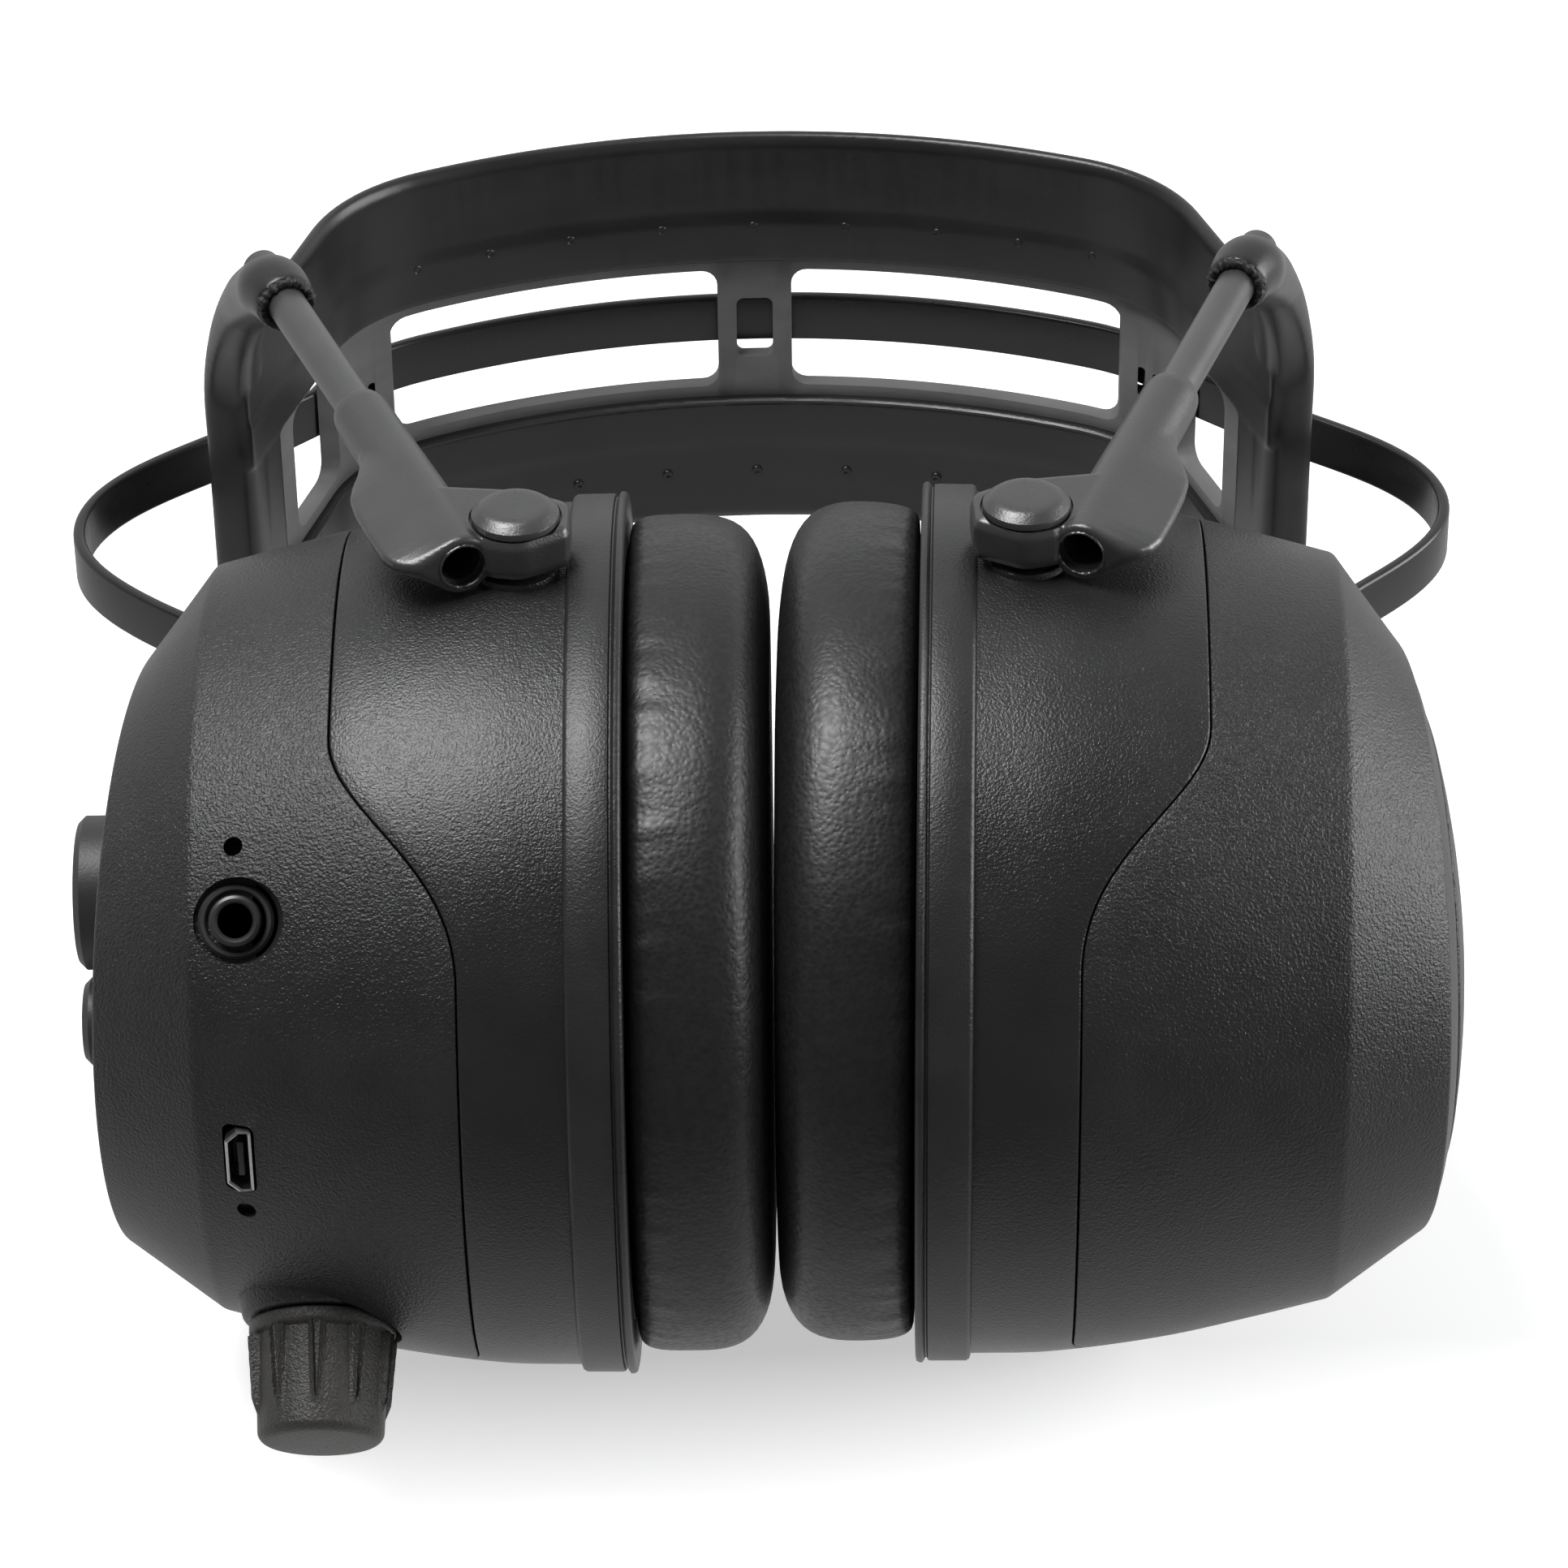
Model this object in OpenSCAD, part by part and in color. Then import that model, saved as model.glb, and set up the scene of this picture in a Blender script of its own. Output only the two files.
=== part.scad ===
// Radio headphones: two cups hung on four sliding rods from one slotted headband, joined by a flat lead.
// X runs from the left cup to the right one, Y from the cups to the crown, Z up from the table.

/* [Headband] */
// Inside height of the crown above the cup axis
crown_y = 132; // [122:0.1:156]
// Inside radius of the crown arc
crown_r = 98.6; // [88:0.2:120]
// Half the angle that the crown arc turns through
crown_turn = 24.7; // [22:0.1:28]
// Inside radius of the two corners
corner_r = 22.4; // [18:0.2:30]
// Lean of the side panels from upright
side_lean = 17.5; // [12:0.1:20]
// Height above the cup axis at which the side panels end
side_end_y = 82.2; // [76:0.1:90]
// Width of the band from front to back
band_w = 56; // [48:0.2:66]
// Thickness of the web between the rails
web_t = 2.2; // [1.6:0.1:3]
// Width of the web between the rails
web_w = 20.4; // [18:0.2:25]
// How far the rails stand proud of the web on the head side
rail_proud = 1.2; // [0.6:0.1:2]
// Thickness of the rails behind the web's inner face
rail_back = 2.2; // [1.8:0.1:3]
// Height of the windows
window_h = 16.8; // [12:0.2:18.4]
// Width of the middle bar between the two long windows
bar_w = 9.4; // [8:0.2:14]
// Outer end of the long windows from the middle
window_end = 45.8; // [39:0.1:48]
// Size of the slot in the middle bar, width then height
slot_size = [4.6, 8.5];
// Thickness of the blocks that close the band's two ends
end_block_t = 5; // [4:0.2:7]

/* [Rods and brackets] */
// Diameter of the rods
rod_d = 4.3; // [3.6:0.1:5]
// Radial running clearance of a rod in its sleeve
rod_gap = 0.05; // [0.03:0.01:0.1]
// Height of the rods above the middle plane
rod_z = 49.8; // [48.6:0.1:52]
// Lean of the rods from upright
rod_lean = 20.5; // [16:0.1:24]
// Where a sleeve's open end lies, from the middle and from the cup axis
sleeve_foot = [31.9, -4.6];
// Length of a sleeve
sleeve_l = 34.8; // [32:0.2:40]
// Wall of a sleeve
sleeve_wall = 1.05; // [0.9:0.05:1.5]
// Length of bare rod between sleeve and collar with the cups run out
rod_bare = 24.8; // [24:0.1:30]
// Length of rod inside the sleeve with the cups run out
rod_held = 12.5; // [10:0.5:14]
// Depth of a rod in its collar
rod_set = 9.5; // [8:0.1:10]
// Outer radius of collars and arms
arm_r = 4.6; // [4.2:0.1:5.2]

/* [Pivots] */
// Pivot axis from the middle, with the cups closed
pivot_x = 26.5; // [25:0.1:28]
// Pivot axis from the cup axis
pivot_y = 0; // [-4:0.5:2]
// Radius of the pin's head
head_r = 4.9; // [4.4:0.1:5.4]
// Radius of the pin
pin_r = 2; // [1.6:0.1:2.4]
// Radial running clearance of the pin in the cup
pin_gap = 0.05; // [0.03:0.01:0.1]
// Thickness of the bracket's plate
plate_t = 4.6; // [3.6:0.1:5]
// Height of the pin's head
head_t = 2.3; // [1.8:0.1:2.8]
// Turn of the closed pair of cups about the pivots
pair_turn = -2; // [-3:0.5:3]
// Toe of each cup, which brings the near edges of the cushions together
toe = 1; // [0.5:0.1:1.4]

/* [Cups] */
// Radius of the rim that holds the cushion
rim_r = 47.5; // [47:0.1:48]
// Station of the rim's inner face from the middle plane
rim_in = 15.5; // [14.5:0.1:16.5]
// Station of the rim's outer face
rim_out = 21.4; // [20.8:0.1:22]
// Radius of the housing beside the rim
shell_r = 46.7; // [46:0.1:47]
// Radius at which the chamfer begins
chamfer_r = 40.4; // [39:0.1:42]
// Station at which the chamfer begins
chamfer_u = 59.8; // [58:0.1:61]
// Radius of the flat outer face
face_r = 31; // [29:0.5:33]
// Station of the flat outer face
face_u = 70; // [68.5:0.1:72]
// Rise of the right cup's domed face
dome_h = 5.3; // [3:0.1:6]
// Radius of the battery cover in the right cup's face
cover_r = 26; // [25.6:0.1:27]
// Wall of the housings
wall = 2.4; // [1.8:0.1:2.8]
// Station of the seam across the lower tongue
seam_low = 32.3; // [30:0.1:35]
// Station of the seam everywhere else
seam_high = 45.4; // [42:0.1:47]
// Turn of the seam's tongue from straight down
seam_turn = -6; // [-20:1:0]
// Gap left at the seam
seam_gap = 0.2; // [0.1:0.05:0.4]
// Station of the cushion's ear face
cushion_in = 1.1; // [0.9:0.1:2]
// Outer radius of the cushion
cushion_r = 45.4; // [44:0.1:46]
// Radius of the ear opening
ear_r = 26; // [24:0.5:29]
// Roundness of the cushion's edges
cushion_edge = 6.5; // [4:0.5:7]

/* [Controls] */
// Station and angle from straight down of the headphone jack
jack_at = [54.9, 37.6];
// Radius of the dish round the jack
jack_dish_r = 4.8; // [4:0.1:5.4]
// Outer radius of the jack's bush
jack_bush_r = 2.65; // [2.4:0.05:2.9]
// Radius of the jack's bore
jack_bore_r = 1.8; // [1.76:0.01:1.85]
// Station and angle of the microphone hole
mic_at = [55.1, 48.1];
// Station and angle of the charging socket
usb_at = [55.3, 2];
// Outside of the charging socket's shell, across the station then along the angle
usb_size = [2.7, 7.5];
// Station and angle of the status light
led_at = [55, -7.4];
// Station and angle of the volume knob
knob_at = [48.6, -36];
// Radius of the knob's skirt
knob_r = 7.8; // [7:0.1:8.4]
// Radius of the knob's end
knob_end_r = 6.65; // [6:0.05:7]
// Distance of the knob's skirt from the cup axis
knob_base = 44.9; // [44.6:0.1:45.6]
// Distance of the knob's end from the cup axis
knob_tip = 55.9; // [53:0.1:58]
// Number of flutes round the knob
flutes = 10; // [8:1:16]
// Diameters of the three buttons on the left face
button_d = [16.5, 9.5, 5.3];
// Where they lie on the face, along Y then Z
button_at = [[-6.3, 10.4], [-11.2, -3], [-13.8, -11.4]];
// How far they stand out of the face
button_out = [4.2, 4.2, 3.4];
// Travel of a button
button_travel = 0.6; // [0.4:0.1:0.8]

/* [Lead] */
// Width of the flat lead
lead_w = 6.5; // [5:0.1:7.4]
// Thickness of the flat lead
lead_t = 1.4; // [1:0.1:1.8]

/* [Hidden] */
$fn = 96;

// The floor lies under the rear collars and pivot heads; the origin is on it, under the middle of the whole
stand_z = rod_z + arm_r;
origin_y = 43.7;
plate_low = stand_z - head_t - plate_t;
turn_left = pair_turn + toe;
turn_right = pair_turn - toe;
rod_dir = [sin(rod_lean), cos(rod_lean)];
collar_face = sleeve_foot + (sleeve_l + rod_bare) * rod_dir;
tube_r = rod_d / 2 + rod_gap + sleeve_wall;
fit = 0.02;
seat = 0.1;
ball_step = 0.2;
// The strips end this far inside the end blocks
strip_short = 0.4;

// Points on an arc about c, from angle a to b in n steps
function arc(c, r, a, b, n) = [for (i = [0:n]) let (t = a + (b - a) * i / n) c + r * [cos(t), sin(t)]];

// ---- Headband ----
crown_c = [0, crown_y - crown_r];
corner_c = crown_c + (crown_r - corner_r) * [sin(crown_turn), cos(crown_turn)];
side_a = corner_c + corner_r * [cos(side_lean), sin(side_lean)];
side_dir = [sin(side_lean), -cos(side_lean)];
side_l = (side_a[1] - side_end_y) / cos(side_lean);
side_n = [cos(side_lean), sin(side_lean)];
// The right half of the band's line, off millimetres outside its inner face, from the crown to an end
function rest(p) = [for (i = [1:len(p) - 1]) p[i]];
function half_line(off, short = 0) = concat(
    arc(crown_c, crown_r + off, 90, 90 - crown_turn, 14),
    rest(arc(corner_c, corner_r + off, 90 - crown_turn, side_lean, 12)),
    [side_a + off * side_n + (side_l - short) * side_dir]);
function flip(p) = [for (q = p) [-q[0], q[1]]];
function back(p) = [for (i = [len(p) - 1:-1:0]) p[i]];
// A closed strip of the band between two offsets
function strip(a, b, short = 0) = concat(
    back(flip(half_line(b, short))), half_line(b, short), back(half_line(a, short)), flip(half_line(a,
        short)));

module slab(points, z0, z1) translate([0, 0, z0]) linear_extrude(z1 - z0) polygon(points);
module both_z() { children(); mirror([0, 0, 1]) children(); }
module both_x() { children(); mirror([1, 0, 0]) children(); }

// A round bar between two points
module bar(a, b, r) {
    d = b - a;
    l = norm(d);
    translate(a) rotate([0, acos(d[2] / l), atan2(d[1], d[0])]) cylinder(h = l, r = r, $fn = 48);
}

// Where an arm leaves the end block, and where it bends into the collar
arm_root = concat(side_a + (side_l - 5) * side_dir + end_block_t / 2 * side_n, band_w / 2 - arm_r - 2);
arm_bend = concat(collar_face + 6 * rod_dir, rod_z);

module band_body() {
    slab(strip(0, web_t, strip_short), -band_w / 2, band_w / 2);
    both_z() slab(strip(-rail_proud, rail_back, strip_short), web_w / 2, band_w / 2);
    // End blocks, thicker than the rails
    both_x() linear_extrude(band_w - 2, center = true)
        polygon([for (q = [[0, -rail_proud], [0, end_block_t], [8, end_block_t], [14, rail_back], [14,
            -rail_proud]])
            side_a + (side_l - q[0]) * side_dir + q[1] * side_n]);
    // Arms, a little thinner than the balls at their root and their bend
    both_x() both_z() {
        bar(arm_root, arm_bend, arm_r - ball_step);
        translate(arm_root) rotate([90, 0, 0]) sphere(arm_r, $fn = 48);
        translate(arm_bend) rotate([90, 0, 0]) sphere(arm_r, $fn = 48);
        bar(arm_bend, concat(collar_face, rod_z), arm_r - 2 * ball_step);
    }
}

module headband() color("#1c1c1d") in_row() difference() {
    band_body();
    // Long windows, side windows and the slot in the middle bar
    both_x() translate([bar_w / 2, crown_y - 60, -window_h / 2])
        cube([window_end - bar_w / 2, 90, window_h]);
    both_x() translate([crown_r / 2, side_a[1] - 7.1, -window_h / 2]) cube([40, 9.5, window_h]);
    cube([slot_size[0], 2 * crown_y + 40, slot_size[1]], center = true);
    // Rod sockets
    both_x() both_z() bar(concat(collar_face - rod_dir, rod_z), concat(collar_face + rod_set * rod_dir,
        rod_z),
        rod_d / 2 + fit);
}

module rod(sx, sz) color("#2a2a2b") in_row() mirror([sx < 0 ? 1 : 0, 0, 0]) mirror([0, 0, sz < 0 ? 1 : 0])
    bar(concat(collar_face - (rod_bare + rod_held) * rod_dir, rod_z),
        concat(collar_face + (rod_set - seat) * rod_dir, rod_z), rod_d / 2);

// ---- Flat lead ----
// Hand-picked points of a loop, from the band's back round towards the gland
loop_pts = [[55.1, 112.8], [59.4, 107.8], [64.6, 102.7], [70.5, 98.5], [76.4, 94.3], [80.4, 89.6],
    [81.8, 84.4],
    [80.6, 79.2], [77.3, 74.4], [73, 69.5], [69, 64.4], [65, 59.2]];
// A point of a cup, which its turn carries along, and the loop that ends in that cup's gland
function in_cup(side, p) = let (a = side < 0 ? -turn_left : turn_right, q = p - [pivot_x, pivot_y])
    [pivot_x + q[0] * cos(a) - q[1] * sin(a), pivot_y + q[0] * sin(a) + q[1] * cos(a)];
function loop_line(side) = concat([loop_pts[0] + 0.25 * unit(loop_pts[1] - loop_pts[0])],
    [for (i = [1:len(loop_pts) - 1]) loop_pts[i]],
    [for (y = [12, 5, seat]) in_cup(side, [gland_u + 0.024 * y * y, gland_tip + y])]);
function unit(v) = v / norm(v);
function normal(p, i) = let (d = unit(p[min(i + 1, len(p) - 1)] - p[max(i - 1, 0)])) [d[1], -d[0]];
function ribbon(p, t) = concat([for (i = [0:len(p) - 1]) p[i] + t / 2 * normal(p, i)],
    [for (i = [len(p) - 1:-1:0]) p[i] - t / 2 * normal(p, i)]);
// A point between p[i] and p[i + 1] on a smooth curve through all of them
function mid(p, i, t) = let (a = p[max(i - 1, 0)], b = p[i], c = p[i + 1], d = p[min(i + 2, len(p) - 1)])
    0.5 * (2 * b + (c - a) * t + (2 * a - 5 * b + 4 * c - d) * t * t + (3 * b - 3 * c + d - a) * t * t * t);
function smooth(p) = concat([for (i = [0:len(p) - 2], t = [0, 0.5]) mid(p, i, t)], [p[len(p) - 1]]);
crown_line = concat([for (q = half_line(web_t + seat + lead_t / 2)) if (q[1] > loop_pts[0][1] + 0.5) q],
    [loop_pts[0]]);

module lead_crown() color("#19191a") in_row()
    slab(ribbon(concat(back(flip(crown_line)), rest(crown_line)), lead_t), -lead_w / 2, lead_w / 2);

module lead_loop(side) color("#19191a") in_row() mirror([side < 0 ? 1 : 0, 0, 0])
    slab(ribbon(smooth(loop_line(side)), lead_t), -lead_w / 2, lead_w / 2);

// ---- Brackets and pivots ----
module on_sleeve() translate(concat(sleeve_foot, rod_z)) rotate([0, 0, -rod_lean]) children();

module bracket(sx, sz) color("#232324") in_row() mirror([sx < 0 ? 1 : 0, 0, 0]) mirror([0, 0, sz < 0 ? 1 : 0])
    difference() {
        union() {
            on_sleeve() rotate([-90, 0, 0]) cylinder(h = sleeve_l, r = tube_r);
            on_sleeve() rotate([-90, 0, 0]) cylinder(h = sleeve_l * 0.62, r = tube_r + 0.55);
            // Plate from the sleeve to the pivot, with a fin along the sleeve's outer side
            translate([0, 0, plate_low]) linear_extrude(plate_t) union() {
                translate([pivot_x, pivot_y]) circle(head_r + 1.2);
                translate(sleeve_foot) rotate(-rod_lean) polygon([[-2, 0], [0, 0], [2.2, 1.2], [5, 5],
                    [5.6, 9],
                    [3.6, 14], [0, 22], [-2, 16]]);
                polygon([sleeve_foot + [0.6, 0.4], [pivot_x - 3.2, pivot_y - head_r - 0.2],
                    [pivot_x - head_r, pivot_y],
                    [pivot_x + 1, pivot_y + head_r + 1.1], sleeve_foot + 17 * rod_dir]);
            }
        }
        on_sleeve() translate([0, -1, 0]) rotate([-90, 0, 0]) cylinder(h = sleeve_l + 2,
            r = rod_d / 2 + rod_gap);
        translate([pivot_x, pivot_y, plate_low - 1]) cylinder(h = plate_t + 2, r = pin_r + fit);
        // Room for the pin's head, and for the cup to turn below
        translate([pivot_x, pivot_y, plate_low + plate_t]) cylinder(h = 10, r = head_r + 0.25);
        translate([0, -60, plate_low - 10.4]) cube([60, 120, 10]);
    }

module pivot_pin(sx, sz) color("#262627") in_row() mirror([sx < 0 ? 1 : 0, 0, 0]) mirror([0, 0,
    sz < 0 ? 1 : 0])
    translate([pivot_x, pivot_y, 0]) rotate_extrude()
        polygon(concat([[0, shell_r - 7], [pin_r, shell_r - 7], [pin_r, plate_low + plate_t + fit],
            [head_r - 0.3, plate_low + plate_t + fit], [head_r, plate_low + plate_t + 0.5]],
            arc([head_r - 1.1, stand_z - 1.1], 1.1, 0, 90, 6), [[0, stand_z]]));

// ---- Cups ----
// A cup's own frame has +X outward along its axis; cup() lays the right or the left one in its place
module in_row() translate([0, -origin_y, stand_z]) children();
module cup(side) in_row() translate([side * pivot_x, pivot_y, 0]) rotate([0, 0,
    side < 0 ? turn_left : turn_right])
    translate([-side * pivot_x, -pivot_y, 0]) mirror([side < 0 ? 1 : 0, 0, 0]) children();
// Revolves a profile of [radius, station] points about the cup's axis
module spin(points) rotate([0, 90, 0]) rotate_extrude() polygon(points);
// Stands its children out of the cup wall: -Y is out, at a station and an angle from straight down
module out_at(at) translate([at[0], 0, 0]) rotate([-at[1], 0, 0]) children();
// A round post from radius a to radius b, out of the cup wall
module post(r, a, b) translate([0, -a, 0]) rotate([90, 0, 0]) cylinder(h = b - a, r = r);

outer_line = concat([[shell_r, rim_out], [shell_r - 0.3, 30], [shell_r - 2, 42], [shell_r - 4.3, 52]],
    arc([chamfer_r - 2.7, chamfer_u - 1.6], 3, 12, 45, 4));
flat_face = concat(arc([face_r - 2.5, face_u - 3], 3, 45, 90, 5), [[0, face_u]]);
function dome(r) = face_u - 0.4 + dome_h * (1 - pow(r / face_r, 2));
domed_face = concat(arc([face_r - 2.5, face_u - 3], 3, 45, 70, 3), [for (r = [28:-4:0]) [r, dome(r)]]);
inner_line = [[shell_r - wall, rim_out - 1], [shell_r - 0.3 - wall, 30], [shell_r - 2 - wall, 42],
    [shell_r - 4.3 - wall, 52], [chamfer_r - wall, chamfer_u - 1.4], [face_r - wall - 0.2, face_u - wall]];

module hull_shell(face = flat_face) difference() {
    spin(concat([[0, rim_out]], outer_line, face));
    spin(concat([[0, rim_out - 1]], inner_line, [[0, face_u - wall]]));
}
// Everything outward of the seam: its station drops in a smooth S round the lower tongue
module beyond_seam(shift) rotate([-seam_turn, 0, 0]) linear_extrude(120, center = true) polygon(concat(
    [[seam_high + shift, 60], [seam_high + shift, -16]],
    [for (i = [0:8]) let (t = i / 8) [seam_low + shift + (seam_high - seam_low) * (1 + cos(180 * t))
        / 2, -16 - 22 * t]],
    [[seam_low + shift, -60], [90, -60], [90, 60]]));

module rim(side) color("#202021") cup(side)
    spin([[42, rim_in], [rim_r - 0.7, rim_in], [rim_r, rim_in + 0.7], [rim_r, rim_out - 0.7],
        [rim_r - 0.7, rim_out],
        [42, rim_out]]);

module inner_housing(side) color("#1e1e1f") cup(side) difference() {
    union() {
        difference() { hull_shell(); beyond_seam(0); }
        both_z() translate([pivot_x, pivot_y, shell_r - 9]) cylinder(h = plate_low - 0.45 - shell_r
            + 9, r = 4.4);
    }
    both_z() translate([pivot_x, pivot_y, shell_r - 12]) cylinder(h = 20, r = pin_r + pin_gap);
}

module outer_shell_plain(face = flat_face) intersection() { hull_shell(face); beyond_seam(seam_gap); }

module outer_housing_right() color("#1e1e1f") cup(1) difference() {
    union() {
        outer_shell_plain(domed_face);
        // Bosses that take the tray's screws
        at_tray_screws() translate([0, 0, tray_u + tray_floor])
            cylinder(h = behind_face - tray_u - tray_floor, r = tray_post_r);
    }
    // Battery opening, and the rebate that its cover lies in
    spin([[0, 60], [cover_r - 0.8, 60], [cover_r - 0.8, cover_seat], [cover_r, cover_seat], [cover_r,
        80], [0, 80]]);
    at_tray_screws() translate([0, 0, tray_u]) cylinder(h = 10.5, r = screw_shank);
    gland_hole();
}

cover_seat = face_u - 0.6;
// Bosses reach half a millimetre into the face's wall
behind_face = face_u - wall + 0.5;
module cover_right() color("#222223") cup(1) spin(concat([[0, cover_seat + seat], [cover_r - seat,
    cover_seat + seat],
    [cover_r - seat, dome(cover_r) + 0.05]], [for (r = [25:-5:0]) [r, dome(r) + 0.3]]));

module outer_housing_left() color("#1e1e1f") cup(-1) difference() {
    union() {
        outer_shell_plain();
        // Fairing that carries the knob, and the boss behind the jack's dish
        intersection() {
            out_at(knob_at) post(knob_r + 2.2, shell_r - 9, knob_base - 0.5);
            beyond_seam(seam_gap);
        }
        out_at(jack_at) post(jack_dish_r + 1, shell_r - 9, shell_r - 6);
        // Bosses that carry the control board
        at_board_screws() translate([0, 0, board_u + board_t])
            cylinder(h = behind_face - board_u - board_t, r = 2.6);
    }
    at_board_screws() translate([0, 0, board_u]) cylinder(h = 9, r = screw_shank);
    out_at(knob_at) post(4.6, 20, 60);
    out_at(knob_at) post(knob_r + 1, knob_base - 0.3, 60);
    out_at(jack_at) post(jack_dish_r, shell_r - 7, 60);
    out_at(jack_at) post(jack_bush_r + fit, 30, 60);
    out_at(mic_at) post(1, 30, 60);
    out_at(led_at) post(0.95 + fit, 30, 60);
    out_at(usb_at) translate([0, -50, 0]) cube([usb_size[0] + 0.4, 30, usb_size[1] + 0.6], center = true);
    for (i = [0:2]) on_face(i) translate([0, 0, board_u + 5]) cylinder(h = 40, r = button_d[i] / 2 + 0.2);
    gland_hole();
}

// ---- Cushions, foam and drivers ----
module cushion(side) color("#2b2b2c") cup(side) spin(concat(
    arc([cushion_r - cushion_edge, cushion_in + cushion_edge], cushion_edge, 0, -90, 8),
    arc([ear_r + cushion_edge, cushion_in + cushion_edge], cushion_edge, -90, -180, 8),
    [[ear_r, rim_in - seat], [cushion_r, rim_in - seat]]));

module ear_foam(side) color("#333334") cup(side)
    spin([[0, 13.2], [ear_r - 0.6, 13.2], [ear_r - 0.6, baffle_in - seat], [0, baffle_in - seat]]);

baffle_in = 15.6;
baffle_t = 2;
driver_r = 20;
screw_r = 34;
module baffle(side) color("#242425") cup(side) difference() {
    union() {
        spin([[17, baffle_in], [42 - seat, baffle_in], [42 - seat, baffle_in + baffle_t], [17,
            baffle_in + baffle_t]]);
        spin([[driver_r + seat, baffle_in + baffle_t], [driver_r + 1.5, baffle_in + baffle_t],
            [driver_r + 1.5, baffle_in + baffle_t + 2.5], [driver_r + seat, baffle_in + baffle_t + 2.5]]);
        for (a = [45:90:315]) rotate([a, 0, 0]) translate([baffle_in + baffle_t, screw_r, 0])
            rotate([0, 90, 0])
            cylinder(h = 6, r = 2.6);
    }
    for (a = [45:90:315]) rotate([a, 0, 0]) translate([baffle_in - 1, screw_r, 0]) rotate([0, 90, 0])
        cylinder(h = 12, r = 1.1);
}

module baffle_screws(side) color("#8c8c8f") cup(side) for (a = [45:90:315]) rotate([a, 0, 0])
    translate([baffle_in + baffle_t + 6 + seat, screw_r, 0]) rotate([0, 90, 0]) {
        cylinder(h = 1.6, r = 2.2);
        translate([0, 0, -6]) cylinder(h = 6.5, r = 1.1 - fit);
    }

frame_u = baffle_in + baffle_t + seat;
module driver_frame(side) color("#3a3b3d") cup(side) spin([[18, frame_u], [driver_r, frame_u],
    [driver_r, frame_u + 2],
    [15, frame_u + 6], [15, frame_u + 8], [9.5, frame_u + 8], [9.5, frame_u + 7], [14, frame_u + 7],
        [14, frame_u + 5.4],
    [18, frame_u + 2]]);
module driver_cone(side) color("#b9b2a4") cup(side) spin([[0, frame_u + 1.2], [7, frame_u + 2.2], [16,
    frame_u + 0.4],
    [18 - seat, frame_u + 0.4], [18 - seat, frame_u + 0.8], [16, frame_u + 0.8], [7.5, frame_u + 2.8],
    [7, frame_u + 5], [6.8, frame_u + 5], [6.8, frame_u + 2.8], [0, frame_u + 1.7]]);
module driver_magnet(side) color("#707277") cup(side) difference() {
    spin([[0, frame_u + 3.4], [6.2, frame_u + 3.4], [6.2, frame_u + 8 + seat], [11.5, frame_u + 8 + seat],
        [11.5, frame_u + 13], [0, frame_u + 13]]);
    spin([[0, frame_u + 3], [2, frame_u + 3], [2, frame_u + 14], [0, frame_u + 14]]);
}

// ---- Where the lead goes in ----
gland_u = 57.2;
gland_foot = 36.5;
gland_tip = 43.6;
module gland_hole() translate([gland_u, 40, 0]) cube([lead_t + 2.4, 14, lead_w + 2.4], center = true);
module lead_gland(side) color("#161617") cup(side) {
    translate([gland_u - lead_t / 2 - 1.1, gland_foot, -lead_w / 2 - 1.1])
        cube([lead_t + 2.2, gland_tip - gland_foot, lead_w + 2.2]);
    // Flange behind the wall
    translate([gland_u - lead_t / 2 - 2.7, gland_foot - 2, -lead_w / 2 - 2.6]) cube([lead_t + 3.4, 2,
        lead_w + 5.2]);
}

// ---- Electronics of the left cup ----
board_u = 58.6;
board_t = 1.6;
board_r = 26;
screw_shank = 1.2;
// A frame on the cup's axis whose +Z is outward, and the places of the screws and buttons in it
module outward() rotate([0, 90, 0]) children();
module at_board_screws() outward() for (a = [30, 150, 270]) rotate([0, 0, a]) translate([22.6, 0, 0])
    children();
module on_face(i) outward() translate([-button_at[i][1], button_at[i][0], 0]) children();
module control_board() color("#1f5a34") cup(-1) difference() {
    outward() translate([0, 0, board_u]) cylinder(h = board_t, r = board_r);
    at_board_screws() translate([0, 0, board_u - 1]) cylinder(h = 4, r = screw_shank);
}
module board_screws() color("#8c8c8f") cup(-1) at_board_screws() translate([0, 0, board_u - 1.5 - seat]) {
    cylinder(h = 1.5, r = 2.2);
    cylinder(h = 9.5, r = screw_shank - fit);
}
switch_h = 3.4;
module tact_switches() color("#4a4a4c") cup(-1) for (i = [0:2]) on_face(i) translate([0, 0, board_u
    + board_t]) {
    translate([-2.2, -2.2, 0]) cube([4.4, 4.4, 2.6]);
    cylinder(h = switch_h, r = 1.2);
}
module jack_socket() color("#6d6e70") cup(-1) out_at(jack_at) difference() {
    union() {
        post(jack_bush_r, shell_r - 12, shell_r - 3.4);
        translate([-3.4, 12 - shell_r, -4]) cube([6.8, 14, 8]);
    }
    post(jack_bore_r, 20, 60);
}
module usb_socket() color("#c4c6c8") cup(-1) out_at(usb_at) difference() {
    translate([-usb_size[0] / 2, -shell_r + 4.6, -usb_size[1] / 2]) cube([usb_size[0], 6, usb_size[1]]);
    translate([-usb_size[0] / 2 + 0.3, -shell_r + 4, -usb_size[1] / 2 + 0.3]) cube([usb_size[0] - 0.6,
        5.6, usb_size[1] - 0.6]);
}
module status_light() color("#c9ccd0") cup(-1) out_at(led_at) {
    post(0.95, shell_r - 9, shell_r - 6);
    post(1.5, shell_r - 11, shell_r - 9);
}
module microphone() color("#55565a") cup(-1) out_at(mic_at) post(2.2, shell_r - 10.6, shell_r - 8.9);

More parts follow.
